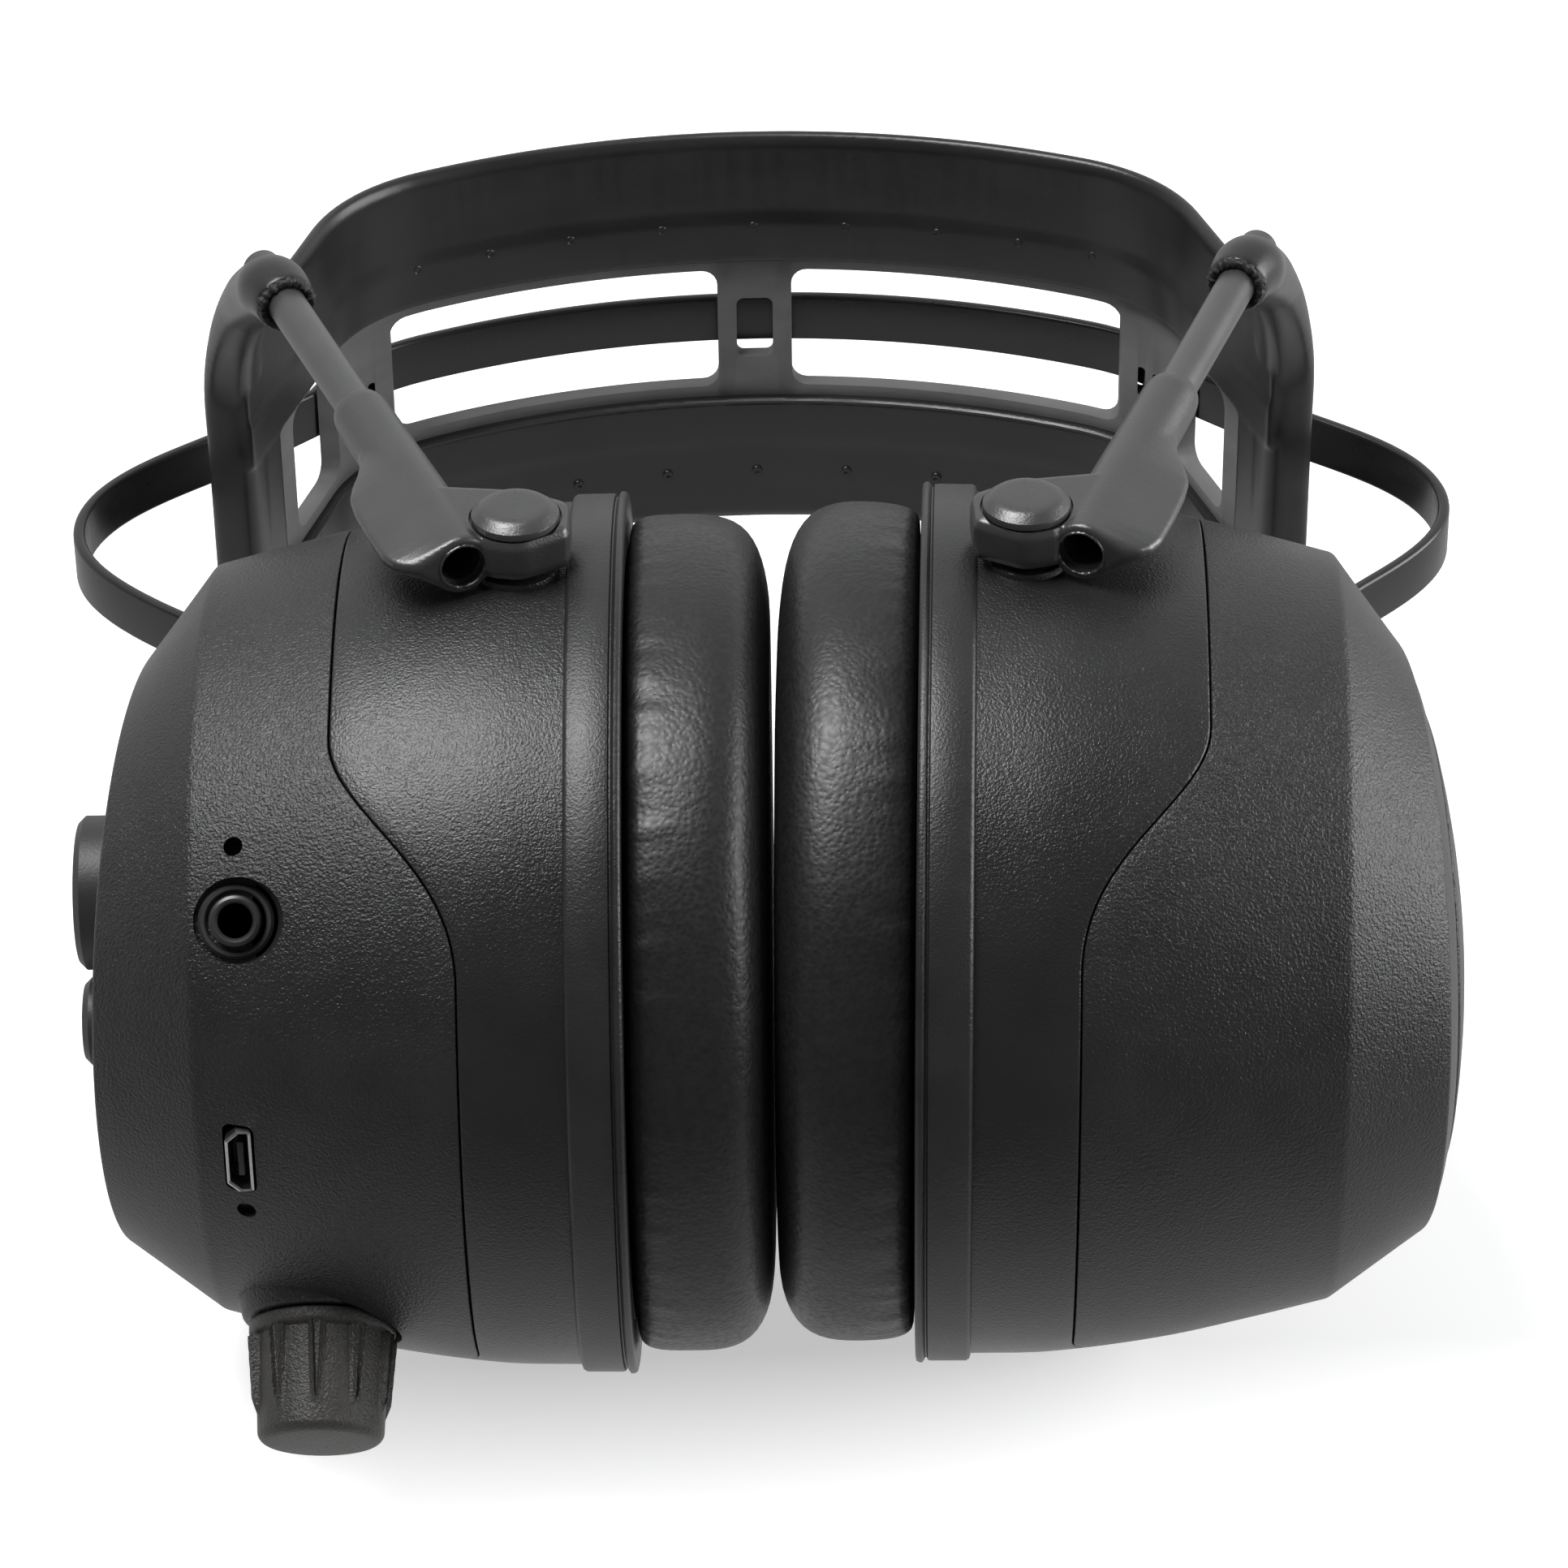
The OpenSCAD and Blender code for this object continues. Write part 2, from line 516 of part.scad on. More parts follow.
// ---- Volume control ----
module volume_control() color("#4f5154") cup(-1) out_at(knob_at) {
    translate([-5.5, -34, -5.5]) cube([11, 6, 11]);
    post(4.4, 34, knob_base - 5.6);
    post(3, 34, knob_tip - 3);
}
module volume_knob() color("#1b1b1c") cup(-1) out_at(knob_at) rotate([90, 0, 0]) difference() {
    rotate_extrude() polygon(concat([[3 + 0.06, knob_base], [knob_r - 0.3, knob_base], [knob_r,
        knob_base + 0.4],
        [knob_r - 0.1, knob_base + 1.3], [knob_r - 0.55, knob_base + 1.7]],
        arc([knob_end_r - 1.2, knob_tip - 1.2], 1.2, 8, 90, 5), [[0, knob_tip + 0.1], [0, knob_tip - 2.8],
        [3 + 0.06, knob_tip - 2.8]]));
    // V flutes that run out before the end
    for (i = [0:flutes - 1]) rotate([0, 0, 360 * i / flutes]) translate([knob_r + 0.05, 0, knob_base + 1.4])
        rotate([0, -5.5, 0]) rotate([0, 0, 45]) translate([-0.75, -0.75, 0]) cube([1.5, 1.5, 10]);
}

// ---- Buttons ----
under_button = board_u + board_t + switch_h + button_travel + 0.15;
module button(i) color("#242425") cup(-1) on_face(i) rotate_extrude() polygon([
    [0, under_button], [1.4, under_button],
    [1.4, face_u - wall - 1.6], [button_d[i] / 2 - 0.9, face_u - wall - 1.6], [button_d[i] / 2,
        face_u - wall - 1.6],
    [button_d[i] / 2, face_u + button_out[i] - 0.7], [button_d[i] / 2 - 0.7, face_u + button_out[i]],
    [0, face_u + button_out[i] + 0.1]]);

// ---- Inside of the right cup ----
tray_u = 53;
tray_floor = 1.6;
tray_wall = 1.2;
tray_post_r = 2.9;
cell_r = 5.25;
cell_l = 44.5;
tuner_t = 1.6;
tuner_u = tray_u - 2.8 - tuner_t;
module at_tray_screws() outward() for (x = [-20.5, 20.5], y = [-20.5, 20.5]) translate([x, y, 0]) children();
// Tray: a round floor on four posts, with walls round the two cells
module battery_tray() color("#2d2e30") cup(1) difference() {
    union() {
        outward() translate([0, 0, tray_u]) cylinder(h = tray_floor - seat, r = 32);
        at_tray_screws() translate([0, 0, tuner_u + tuner_t])
            cylinder(h = tray_u - tuner_u - tuner_t + 0.1, r = tray_post_r);
        outward() difference() {
            translate([-2 * cell_r - tray_wall - 0.2, -cell_l / 2 - tray_wall - 0.2, tray_u + 0.5])
                cube([4 * cell_r + 2 * tray_wall + 0.4, cell_l + 2 * tray_wall + 0.4, 10]);
            translate([-2 * cell_r - 0.2, -cell_l / 2 - 0.2, tray_u])
                cube([4 * cell_r + 0.4, cell_l + 0.4, 20]);
        }
    }
    at_tray_screws() translate([0, 0, tuner_u]) cylinder(h = 10, r = screw_shank);
}
module battery_cells() color("#b98a2e") cup(1) outward() for (x = [-1, 1])
    translate([x * (cell_r + seat), -cell_l / 2, tray_u + tray_floor + cell_r]) rotate([-90, 0, 0]) {
        cylinder(h = cell_l - 0.8, r = cell_r);
        cylinder(h = cell_l, r = 1.9);
    }
module tuner_board() color("#1f5a34") cup(1) difference() {
    outward() translate([-24, -24, tuner_u]) cube([48, 48, tuner_t]);
    at_tray_screws() translate([0, 0, tuner_u - 1]) cylinder(h = 4, r = screw_shank);
}
module tray_screws() color("#8c8c8f") cup(1) at_tray_screws() translate([0, 0, tuner_u - 1.5 - seat]) {
    cylinder(h = 1.5, r = 2.2);
    cylinder(h = 15, r = screw_shank - fit);
}

headband();
lead_crown();
lead_loop(-1);  // lead_loop_left
lead_loop(1);  // lead_loop_right
rod(-1, 1);  // rod_left_front
rod(-1, -1);  // rod_left_rear
rod(1, 1);  // rod_right_front
rod(1, -1);  // rod_right_rear
bracket(-1, 1);  // bracket_left_front
bracket(-1, -1);  // bracket_left_rear
bracket(1, 1);  // bracket_right_front
bracket(1, -1);  // bracket_right_rear
pivot_pin(-1, 1);  // pivot_pin_left_front
pivot_pin(-1, -1);  // pivot_pin_left_rear
pivot_pin(1, 1);  // pivot_pin_right_front
pivot_pin(1, -1);  // pivot_pin_right_rear
rim(-1);  // rim_left
rim(1);  // rim_right
inner_housing(-1);  // inner_housing_left
inner_housing(1);  // inner_housing_right
outer_housing_left();
outer_housing_right();
cover_right();
cushion(-1);  // cushion_left
cushion(1);  // cushion_right
ear_foam(-1);  // ear_foam_left
ear_foam(1);  // ear_foam_right
baffle(-1);  // baffle_left
baffle(1);  // baffle_right
driver_frame(-1);  // driver_frame_left
driver_frame(1);  // driver_frame_right
driver_cone(-1);  // driver_cone_left
driver_cone(1);  // driver_cone_right
driver_magnet(-1);  // driver_magnet_left
driver_magnet(1);  // driver_magnet_right
baffle_screws(-1);  // baffle_screws_left
baffle_screws(1);  // baffle_screws_right
lead_gland(-1);  // lead_gland_left
lead_gland(1);  // lead_gland_right
control_board();
tact_switches();
jack_socket();
usb_socket();
status_light();
microphone();
volume_control();
volume_knob();
button(0);  // button_main
button(1);  // button_next
button(2);  // button_back
board_screws();
battery_cells();
battery_tray();
tuner_board();
tray_screws();
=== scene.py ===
"""Radio headphones: finishes, shells, band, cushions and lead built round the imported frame."""
import math
import random

import bmesh
import bpy
from mathutils import Matrix, Vector, noise

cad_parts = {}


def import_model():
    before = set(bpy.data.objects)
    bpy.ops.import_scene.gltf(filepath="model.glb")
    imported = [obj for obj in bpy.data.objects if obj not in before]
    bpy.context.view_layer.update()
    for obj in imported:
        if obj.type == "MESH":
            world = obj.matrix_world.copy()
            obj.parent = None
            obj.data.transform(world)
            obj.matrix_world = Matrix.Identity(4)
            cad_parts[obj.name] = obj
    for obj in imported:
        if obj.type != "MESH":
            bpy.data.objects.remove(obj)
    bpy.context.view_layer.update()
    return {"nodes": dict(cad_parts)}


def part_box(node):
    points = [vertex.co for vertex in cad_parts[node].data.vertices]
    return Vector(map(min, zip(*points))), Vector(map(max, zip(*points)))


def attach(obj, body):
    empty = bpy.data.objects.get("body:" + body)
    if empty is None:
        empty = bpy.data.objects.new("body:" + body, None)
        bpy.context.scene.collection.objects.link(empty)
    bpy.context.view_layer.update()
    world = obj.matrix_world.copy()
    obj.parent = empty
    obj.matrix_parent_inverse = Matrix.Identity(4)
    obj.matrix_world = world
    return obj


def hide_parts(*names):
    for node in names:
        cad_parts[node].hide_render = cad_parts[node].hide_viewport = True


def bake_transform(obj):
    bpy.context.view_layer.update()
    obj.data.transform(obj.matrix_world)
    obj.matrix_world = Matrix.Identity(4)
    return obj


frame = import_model()
CAD_NODES = frame["nodes"]

MM = 0.001
TO_METRES = Matrix.Scale(MM, 4)
WELD = 0.001         # points nearer to each other than this, in millimetres, become one
SIDES = {"left": -1, "right": 1}


# ---------------------------------------------------------------- places, in millimetres
def centre(node):
    low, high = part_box(node)
    return (low + high) / 2 / MM


PIVOT = Vector((centre("pivot_pin_right_front").x, centre("pivot_pin_right_front").y))
CUP_Z = centre("rim_right").z          # height of the cups' axis and of the band's middle plane
TURN = {"left": math.radians(-1), "right": math.radians(-3)}    # of each cup about its pivots
# The band's own frame: Y runs from the cups' axis to the crown, Z from the middle plane
BAND = Matrix.Translation((0, PIVOT.y, CUP_Z))


def mirrored(sx, sz=1):
    """The band's frame, mirrored to the left, to the rear or to both."""
    return BAND @ Matrix.Diagonal((sx, 1, sz, 1))


def cup_place(side):
    """A cup's own frame: +X outward along its axis."""
    sign = SIDES[side]
    to_pivot = Matrix.Translation((sign * PIVOT.x, PIVOT.y, CUP_Z))
    back = Matrix.Translation((-sign * PIVOT.x, 0, 0))
    return to_pivot @ Matrix.Rotation(TURN[side], 4, "Z") @ back @ Matrix.Diagonal((sign, 1, 1, 1))


def on_wall(station, angle):
    """A frame on a cup's wall: X along the axis, Z straight out; angle 0 faces away from the crown."""
    c, s = math.cos(math.radians(angle)), math.sin(math.radians(angle))
    return Matrix(((1, 0, 0, station), (0, s, -c, 0), (0, c, s, 0), (0, 0, 0, 1)))


def on_face(y, z):
    """A frame at a place of a cup's face: Z straight out along the axis."""
    return Matrix(((0, 0, 1, 0), (0, 1, 0, y), (-1, 0, 0, z), (0, 0, 0, 1)))


# ---------------------------------------------------------------- mesh helpers; a part is (points, faces)
def linked(name, data):
    """A new object with this data, in the scene."""
    obj = bpy.data.objects.new(name, data)
    bpy.context.scene.collection.objects.link(obj)
    return obj


def skin_mesh(name, part, place, weld):
    """A mesh of a part in its place, with equal points welded and its faces turned outward."""
    points, faces = part
    mesh = bpy.data.meshes.new(name)
    mesh.from_pydata([place @ Vector(p) for p in points], [], faces)
    form = bmesh.new()
    form.from_mesh(mesh)
    bmesh.ops.remove_doubles(form, verts=form.verts, dist=weld)
    bmesh.ops.recalc_face_normals(form, faces=form.faces)
    form.to_mesh(mesh)
    form.free()
    return mesh


def build(name, part, place, material, body, stands_for=(), crease=35):
    """A piece from a part in millimetres in the frame place, riding on a body."""
    mesh = skin_mesh(name, part, TO_METRES @ place, WELD * MM)
    return finish_piece(name, mesh, material, body, stands_for, crease)


def finish_piece(name, mesh, material, body, stands_for=(), crease=35):
    """A piece from a mesh in metres; faces that meet at more than the crease angle keep a sharp edge."""
    mesh.shade_smooth()
    mesh.set_sharp_from_angle(angle=math.radians(crease))
    mesh.materials.clear()
    mesh.materials.append(material)
    piece = linked(name, mesh)
    if body:
        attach(piece, body)
    if stands_for:
        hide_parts(*stands_for)
    return piece


def loose(name, part):
    """An object in millimetres that rides on nothing yet, for booleans and remeshing."""
    return linked(name, skin_mesh(name, part, Matrix(), WELD))


def applied(obj):
    """The mesh that an object's modifiers give; the object goes."""
    bpy.context.view_layer.update()
    mesh = bpy.data.meshes.new_from_object(obj.evaluated_get(bpy.context.evaluated_depsgraph_get()))
    name = obj.name
    bpy.data.objects.remove(obj)
    mesh.name = name
    return mesh


def cut(obj, part, place=Matrix()):
    """Takes a closed part from a loose object and returns what is left, still loose."""
    cutter = loose("cutter", moved(part, place))
    change = obj.modifiers.new("cut", "BOOLEAN")
    change.operation = "DIFFERENCE"
    change.object = cutter
    change.solver = "EXACT"
    name = obj.name
    mesh = applied(obj)
    bpy.data.objects.remove(cutter)
    return linked(name, mesh)


def fused(name, part, voxel, relax):
    """Melts overlapping closed forms into one loose skin."""
    obj = loose(name, part)
    melt = obj.modifiers.new("melt", "REMESH")
    melt.mode = "VOXEL"
    melt.voxel_size = voxel
    soften = obj.modifiers.new("soften", "SMOOTH")
    soften.factor = 0.5
    soften.iterations = relax
    return linked(name, applied(obj))


def as_part(mesh):
    """The points and faces of a mesh."""
    return [v.co.copy() for v in mesh.vertices], [tuple(p.vertices) for p in mesh.polygons]


def moved(part, place):
    points, faces = part
    return [place @ Vector(p) for p in points], faces


def join(*parts):
    """One part from several."""
    points, faces = [], []
    for p, f in parts:
        shift = len(points)
        points += [Vector(q) for q in p]
        faces += [tuple(i + shift for i in face) for face in f]
    return points, faces


def around(steps):
    """Angles all the way round."""
    return [2 * math.pi * k / steps for k in range(steps)]


def grid(rows, columns, close_rows=False):
    """Quads over rows by columns points, row after row; each row is a closed ring."""
    faces = []
    for i in range(rows if close_rows else rows - 1):
        for j in range(columns):
            this, following = i * columns, ((i + 1) % rows) * columns
            beside = (j + 1) % columns
            faces.append((this + j, this + beside, following + beside, following + j))
    return faces


def capped(rows, columns):
    """The same with a face over the first row and one over the last."""
    last = (rows - 1) * columns
    return grid(rows, columns) + [tuple(range(columns)), tuple(range(last, last + columns))]


def close_rings(part, count, hubs):
    """Closes rings of a part with triangles to their hubs; hubs maps a ring's number to its hub."""
    points, faces = list(part[0]), list(part[1])
    for ring, hub in hubs.items():
        first = ring * count
        faces += [(first + k, first + (k + 1) % count, len(points)) for k in range(count)]
        points.append(hub)
    return points, faces


def pulled(a, b, c, t):
    """The point at share t of the curve from a to c that bends towards b."""
    return a * (1 - t) ** 2 + b * 2 * t * (1 - t) + c * t ** 2


def rounded(line, radii, steps=4):
    """An open 2-D line with its inner corners rounded; radii has one value for each inner corner."""
    out = [Vector(line[0])]
    for i, radius in enumerate(radii, 1):
        a, b, c = (Vector(line[i + k]) for k in (-1, 0, 1))
        to_a, to_c = (a - b).normalized(), (c - b).normalized()
        trim = min(radius / math.tan(to_a.angle(to_c) / 2), (a - b).length * 0.49, (c - b).length * 0.49)
        out += [pulled(b + to_a * trim, b, b + to_c * trim, k / steps) for k in range(steps + 1)]
    out.append(Vector(line[-1]))
    return out


def ring_round(line, radii, steps=4):
    """The same for a closed line."""
    return rounded([line[-1], *line, line[0]], radii, steps)[1:-1]


def round_box(width, height, radius, steps=5):
    """Outline of a rounded rectangle about the origin."""
    a, b = width / 2 - radius, height / 2 - radius
    outline = []
    for x, y, start in ((a, b, 0), (-a, b, 90), (-a, -b, 180), (a, -b, 270)):
        for k in range(steps + 1):
            angle = math.radians(start + 90 * k / steps)
            outline.append((x + radius * math.cos(angle), y + radius * math.sin(angle)))
    return outline


def lathe(profile, steps=96, closed=False):
    """Turns a profile of (height, radius) round the Z axis."""
    points = [(r * math.cos(a), r * math.sin(a), h) for h, r in profile for a in around(steps)]
    return points, grid(len(profile), steps, closed)


def smooth_line(stops, parts=6):
    """A smooth curve through stops, with this many parts between each two."""
    stops = [Vector(s) for s in stops]
    out = []
    for i in range(len(stops) - 1):
        a, b = stops[max(i - 1, 0)], stops[i]
        c, d = stops[i + 1], stops[min(i + 2, len(stops) - 1)]
        for k in range(parts):
            t = k / parts
            square, cube = 2 * a - 5 * b + 4 * c - d, 3 * b - 3 * c + d - a
            out.append(0.5 * (2 * b + (c - a) * t + square * t * t + cube * t ** 3))
    return out + [stops[-1]]


def heading(path, i):
    """The direction of a path at one of its points."""
    return (path[min(i + 1, len(path) - 1)] - path[max(i - 1, 0)]).normalized()


def sweep(path, section):
    """Carries section(i) -> list of (side, up) along a path of level points, and caps both ends."""
    points = []
    for i, p in enumerate(path):
        ahead = heading(path, i)
        side = ahead.cross(Vector((0, 0, 1))).normalized()
        top = side.cross(ahead)
        points += [p + side * a + top * b for a, b in section(i)]
    return points, capped(len(path), len(points) // len(path))


def prism(outline, low, high, edge=0.3):
    """A slab of an outline with softened edges."""
    inward = []
    for i in range(len(outline)):
        along = (Vector(outline[(i + 1) % len(outline)]) - Vector(outline[i - 1])).normalized()
        inward.append(Vector((-along.y, along.x)))
    levels = ((low, edge), (low + edge * 0.3, edge * 0.3), (low + edge, 0),
              (high - edge, 0), (high - edge * 0.3, edge * 0.3), (high, edge))
    points = []
    for z, shrink in levels:
        points += [(*(Vector(p) + way * shrink), z) for p, way in zip(outline, inward)]
    middle = sum((Vector(p) for p in outline), Vector((0, 0))) / len(outline)
    count, rows = len(outline), len(levels)
    return close_rings((points, grid(rows, count)), count, {0: (*middle, low), rows - 1: (*middle, high)})


# ---------------------------------------------------------------- finishes
def linear(code):
    """sRGB hex to linear RGBA."""
    parts = [int(code[i:i + 2], 16) / 255 for i in (1, 3, 5)]
    return (*[p / 12.92 if p <= 0.04045 else ((p + 0.055) / 1.055) ** 2.4 for p in parts], 1)


def feed(tree, node, inputs):
    """Sets a node's inputs; each is a value, or the socket that feeds it."""
    for key, value in inputs.items():
        if isinstance(value, bpy.types.NodeSocket):
            tree.links.new(value, node.inputs[key])
        else:
            node.inputs[key].default_value = value


def add(tree, kind, inputs=None, stops=(), **settings):
    """Adds a node with its inputs and settings; stops are a ramp's two pairs of position and colour."""
    node = tree.nodes.new(kind)
    for key, value in settings.items():
        setattr(node, key, value)
    for i, (position, color) in enumerate(stops):
        node.color_ramp.elements[i].position = position
        node.color_ramp.elements[i].color = color
    feed(tree, node, inputs or {})
    return node


def fine(size):
    """Texture scale for a grain of this size in millimetres."""
    return 1 / (size * MM)


def finish(name, **shader):
    """A material with its shader's sockets set: returns it, its tree, the shader and object coordinates."""
    material = bpy.data.materials.new(name)
    material.use_nodes = True
    tree = material.node_tree
    body = tree.nodes["Principled BSDF"]
    feed(tree, body, {key.replace("_", " "): value for key, value in shader.items()})
    where = add(tree, "ShaderNodeTexCoord").outputs["Object"]
    return material, tree, body, where


def grey(value):
    return (value, value, value, 1)


def tones(dark, light):
    """Stops of a ramp between two colours in hex."""
    return (0.35, linear(dark)), (0.65, linear(light))


def moulded(name, dark, light, rough, grain, depth, gloss=0.5, blotch=6.0, smear=(1, 1, 1)):
    """Injection-moulded plastic: tool grain of a size and depth in millimetres, slow changes of tone."""
    material, tree, body, where = finish(name, Specular_IOR_Level=gloss)
    stretched = add(tree, "ShaderNodeMapping", {"Vector": where, "Scale": smear}).outputs["Vector"]
    slow = add(tree, "ShaderNodeTexNoise",
               {"Vector": stretched, "Scale": fine(blotch), "Detail": 5.0}).outputs["Fac"]
    speckle = add(tree, "ShaderNodeTexNoise",
                  {"Vector": where, "Scale": fine(grain), "Detail": 2.0, "Roughness": 0.6}).outputs["Fac"]
    bump = add(tree, "ShaderNodeBump", {"Height": speckle, "Distance": depth * MM, "Strength": 1.0})
    tone = add(tree, "ShaderNodeValToRGB", {"Fac": slow}, tones(dark, light))
    duller = (0.1, grey(rough - 0.05)), (0.9, grey(rough + 0.05))
    shine = add(tree, "ShaderNodeValToRGB", {"Fac": slow}, duller)
    feed(tree, body, {"Base Color": tone.outputs[0], "Roughness": shine.outputs[0],
                      "Normal": bump.outputs[0]})
    return material


# ABS with a spark-eroded tool grain: satin, with fine sparkles where the light falls. The grain is drawn
# half as coarse again as the real one, so that it shows
SPARKED_ABS = moulded("abs_spark_grained", "#1f1f20", "#232324", rough=0.32, grain=0.32, depth=0.17)
# ABS from a finer blasted tool: semi-gloss
BLASTED_ABS = moulded("abs_fine_grained", "#1d1d1e", "#212122", rough=0.29, grain=0.3, depth=0.10, blotch=9.0)
# Polypropylene of the rims: satin
RIM_PP = moulded("polypropylene_satin", "#202021", "#252526", rough=0.36, grain=0.3, depth=0.07)
# Nylon of the band, with long flow streaks that soften its gloss
BAND_NYLON = moulded("nylon_moulded", "#1b1b1c", "#222223", rough=0.33, grain=0.6, depth=0.012,
                     blotch=14.0, smear=(1, 1, 3))
# The same nylon from a matt face of the tool, with painted light: its colour is painted paler for the light
# that falls on it from above
WEB_NYLON_PAINTED_LIT = moulded("nylon_matt_painted_lit", "#5c5c5d", "#666667", rough=0.6, grain=0.5, depth=0.02,
                    blotch=10.0, smear=(1, 1, 3))
# Flash left round the mouths of the collars: matt and ragged
FLASH_NYLON = moulded("nylon_flash", "#161617", "#2a2a2b", rough=0.6, grain=0.5, depth=0.2, blotch=0.9)
# Glass-filled nylon of the brackets and pins: satin
BRACKET_NYLON = moulded("nylon_glass_filled", "#29292a", "#2e2e2f", rough=0.36, grain=0.3, depth=0.035,
                        gloss=1.0)
# Soft rubbery coat of the knob, grained between its ridges
KNOB_RUBBER = moulded("rubber_grained", "#2f2e2c", "#363532", rough=0.4, grain=0.3, depth=0.17)
# ABS of the buttons: a duller satin
BUTTON_ABS = moulded("abs_button", "#2c2c2d", "#303031", rough=0.45, grain=0.35, depth=0.03)
# Painted spring steel of the rods: satin and almost smooth
ROD_STEEL = moulded("steel_rod_painted", "#343435", "#3a3a3b", rough=0.36, grain=0.4, depth=0.012,
                    gloss=1.0)
# Flexible PVC of the lead: glossy and almost smooth
LEAD_PVC = moulded("pvc_flexible", "#1d1d1e", "#212122", rough=0.28, grain=1.2, depth=0.01)
# The bore of the headphone socket is lined with painted shade: a black sleeve that reflects nothing
BORE_PAINTED_SHADE = finish("painted_shade_black", Base_Color=linear("#020202"), Roughness=1.0,
                     Specular_IOR_Level=0.0, IOR=1.0)[0]
# Polystyrene of the hidden frames and trays: plain satin
INSIDE_PLASTIC = moulded("polystyrene_inside", "#232324", "#29292a", rough=0.5, grain=0.6, depth=0.02)
# Cells in a printed film, boards in solder resist, cones of pressed paper
CELL_FILM = moulded("film_on_cell", "#b98a2e", "#c2953a", rough=0.3, grain=2.0, depth=0.005)
BOARD_RESIST = moulded("solder_resist", "#1d5232", "#225c39", rough=0.35, grain=1.0, depth=0.01)
CONE_PAPER = moulded("paper_pressed", "#b3ab9b", "#bdb6a8", rough=0.8, grain=0.4, depth=0.03)
# Smoked acrylic over the status light: dark and glossy
LENS_ACRYLIC = moulded("acrylic_smoked", "#0d0d0e", "#111112", rough=0.2, grain=0.5, depth=0.004)
# ABS of the headphone socket's bush: smooth, and a little paler than the shell
BUSH_ABS = moulded("abs_bush", "#272728", "#2c2c2d", rough=0.3, grain=0.4, depth=0.01)


def plated(name, dark, light, rough):
    """Nickel-plated steel with fine rubbed scratches."""
    material, tree, body, where = finish(name, Metallic=1.0, Roughness=rough)
    lines = add(tree, "ShaderNodeTexNoise",
                {"Vector": where, "Scale": fine(0.4), "Detail": 3.0}).outputs["Fac"]
    bump = add(tree, "ShaderNodeBump", {"Height": lines, "Distance": 0.004 * MM, "Strength": 1.0})
    tone = add(tree, "ShaderNodeValToRGB", {"Fac": lines}, tones(dark, light))
    feed(tree, body, {"Base Color": tone.outputs[0], "Normal": bump.outputs[0]})
    return material


PLATED_STEEL = plated("steel_nickel_plated", "#b9bbbd", "#c9cbcc", rough=0.28)


def leatherette():
    """Polyurethane leatherette: pebbled skin with short fine creases, semi-gloss on the pebbles."""
    material, tree, body, where = finish("leatherette_polyurethane", Specular_IOR_Level=0.5)
    warp = add(tree, "ShaderNodeTexNoise",
               {"Vector": where, "Scale": fine(3.0), "Detail": 2.0}).outputs["Color"]
    bent = add(tree, "ShaderNodeMix", {"Factor": 0.0015, "A": where, "B": warp},
               data_type="VECTOR").outputs["Result"]
    pebbles = add(tree, "ShaderNodeTexVoronoi", {"Vector": where, "Scale": fine(0.5)},
                  feature="SMOOTH_F1").outputs["Distance"]
    creases = add(tree, "ShaderNodeTexNoise",
                  {"Vector": bent, "Scale": fine(1.05), "Detail": 5.0, "Roughness": 0.55}).outputs["Fac"]
    both = add(tree, "ShaderNodeMath", {0: pebbles, 1: creases}, operation="ADD").outputs[0]
    bump = add(tree, "ShaderNodeBump", {"Height": both, "Distance": 0.052 * MM, "Strength": 1.0})
    # The skin is a little darker where the creases sink: painted shade
    tone = add(tree, "ShaderNodeValToRGB", {"Fac": creases}, tones("#171718", "#1d1d1e"))
    shine = add(tree, "ShaderNodeValToRGB", {"Fac": pebbles}, ((0.2, grey(0.36)), (0.8, grey(0.5))))
    feed(tree, body, {"Base Color": tone.outputs[0], "Roughness": shine.outputs[0],
                      "Normal": bump.outputs[0]})
    return material


def open_foam():
    """Open-cell polyurethane foam: matt, pale struts with painted shade in the cells between them."""
    material, tree, body, where = finish("foam_open_cell", Roughness=0.95, Specular_IOR_Level=0.2)
    cells = add(tree, "ShaderNodeTexVoronoi", {"Vector": where, "Scale": fine(0.7)},
                feature="DISTANCE_TO_EDGE").outputs["Distance"]
    bump = add(tree, "ShaderNodeBump", {"Height": cells, "Distance": 0.3 * MM, "Strength": 1.0})
    # The cells are painted darker than the struts: painted shade in the pores
    struts_to_shaded_cells = (0.0, linear("#565658")), (0.35, linear("#242425"))
    tone = add(tree, "ShaderNodeValToRGB", {"Fac": cells}, struts_to_shaded_cells)
    feed(tree, body, {"Base Color": tone.outputs[0], "Normal": bump.outputs[0]})
    return material


LEATHERETTE = leatherette()
OPEN_FOAM = open_foam()


# ---------------------------------------------------------------- cups: stations run out along the axis
SHELL_R, WALL = 46.7, 2.4
RIM_IN, RIM_OUT = 15.5, 21.4
SHELL_START = RIM_OUT - 0.6            # the inner housing begins a little under the rim
CHAMFER_U, CHAMFER_R = 59.8, 40.4
FACE_R, FACE_Y, FACE_U, FACE_TILT = 31.9, -1.6, 67.75, -0.093
SIDE_SOFT, FACE_SOFT = 0.45, 0.4       # softening of the chamfer's two edges
WALL_STEPS = 288                       # points round a cup
SIDE_LINE = ((RIM_OUT, SHELL_R), (30, SHELL_R - 0.3), (42, SHELL_R - 2), (52, SHELL_R - 4.3),
             (CHAMFER_U, CHAMFER_R))
# The seam stands high towards the crown and bends down to low over a span of Y
SEAM_LOW, SEAM_HIGH, SEAM_TURN = 32.3, 45.4, math.radians(6)
SEAM_BEND_Y, SEAM_BEND_SPAN = -16, 22
SEAM_GAP, SEAM_SOFT = 0.06, 0.25       # half its width, and how far its softened edges reach
SEAM_EDGE = ((0.0, 0.45), (0.04, 0.13), (0.12, 0.03), (SEAM_SOFT, 0.0))
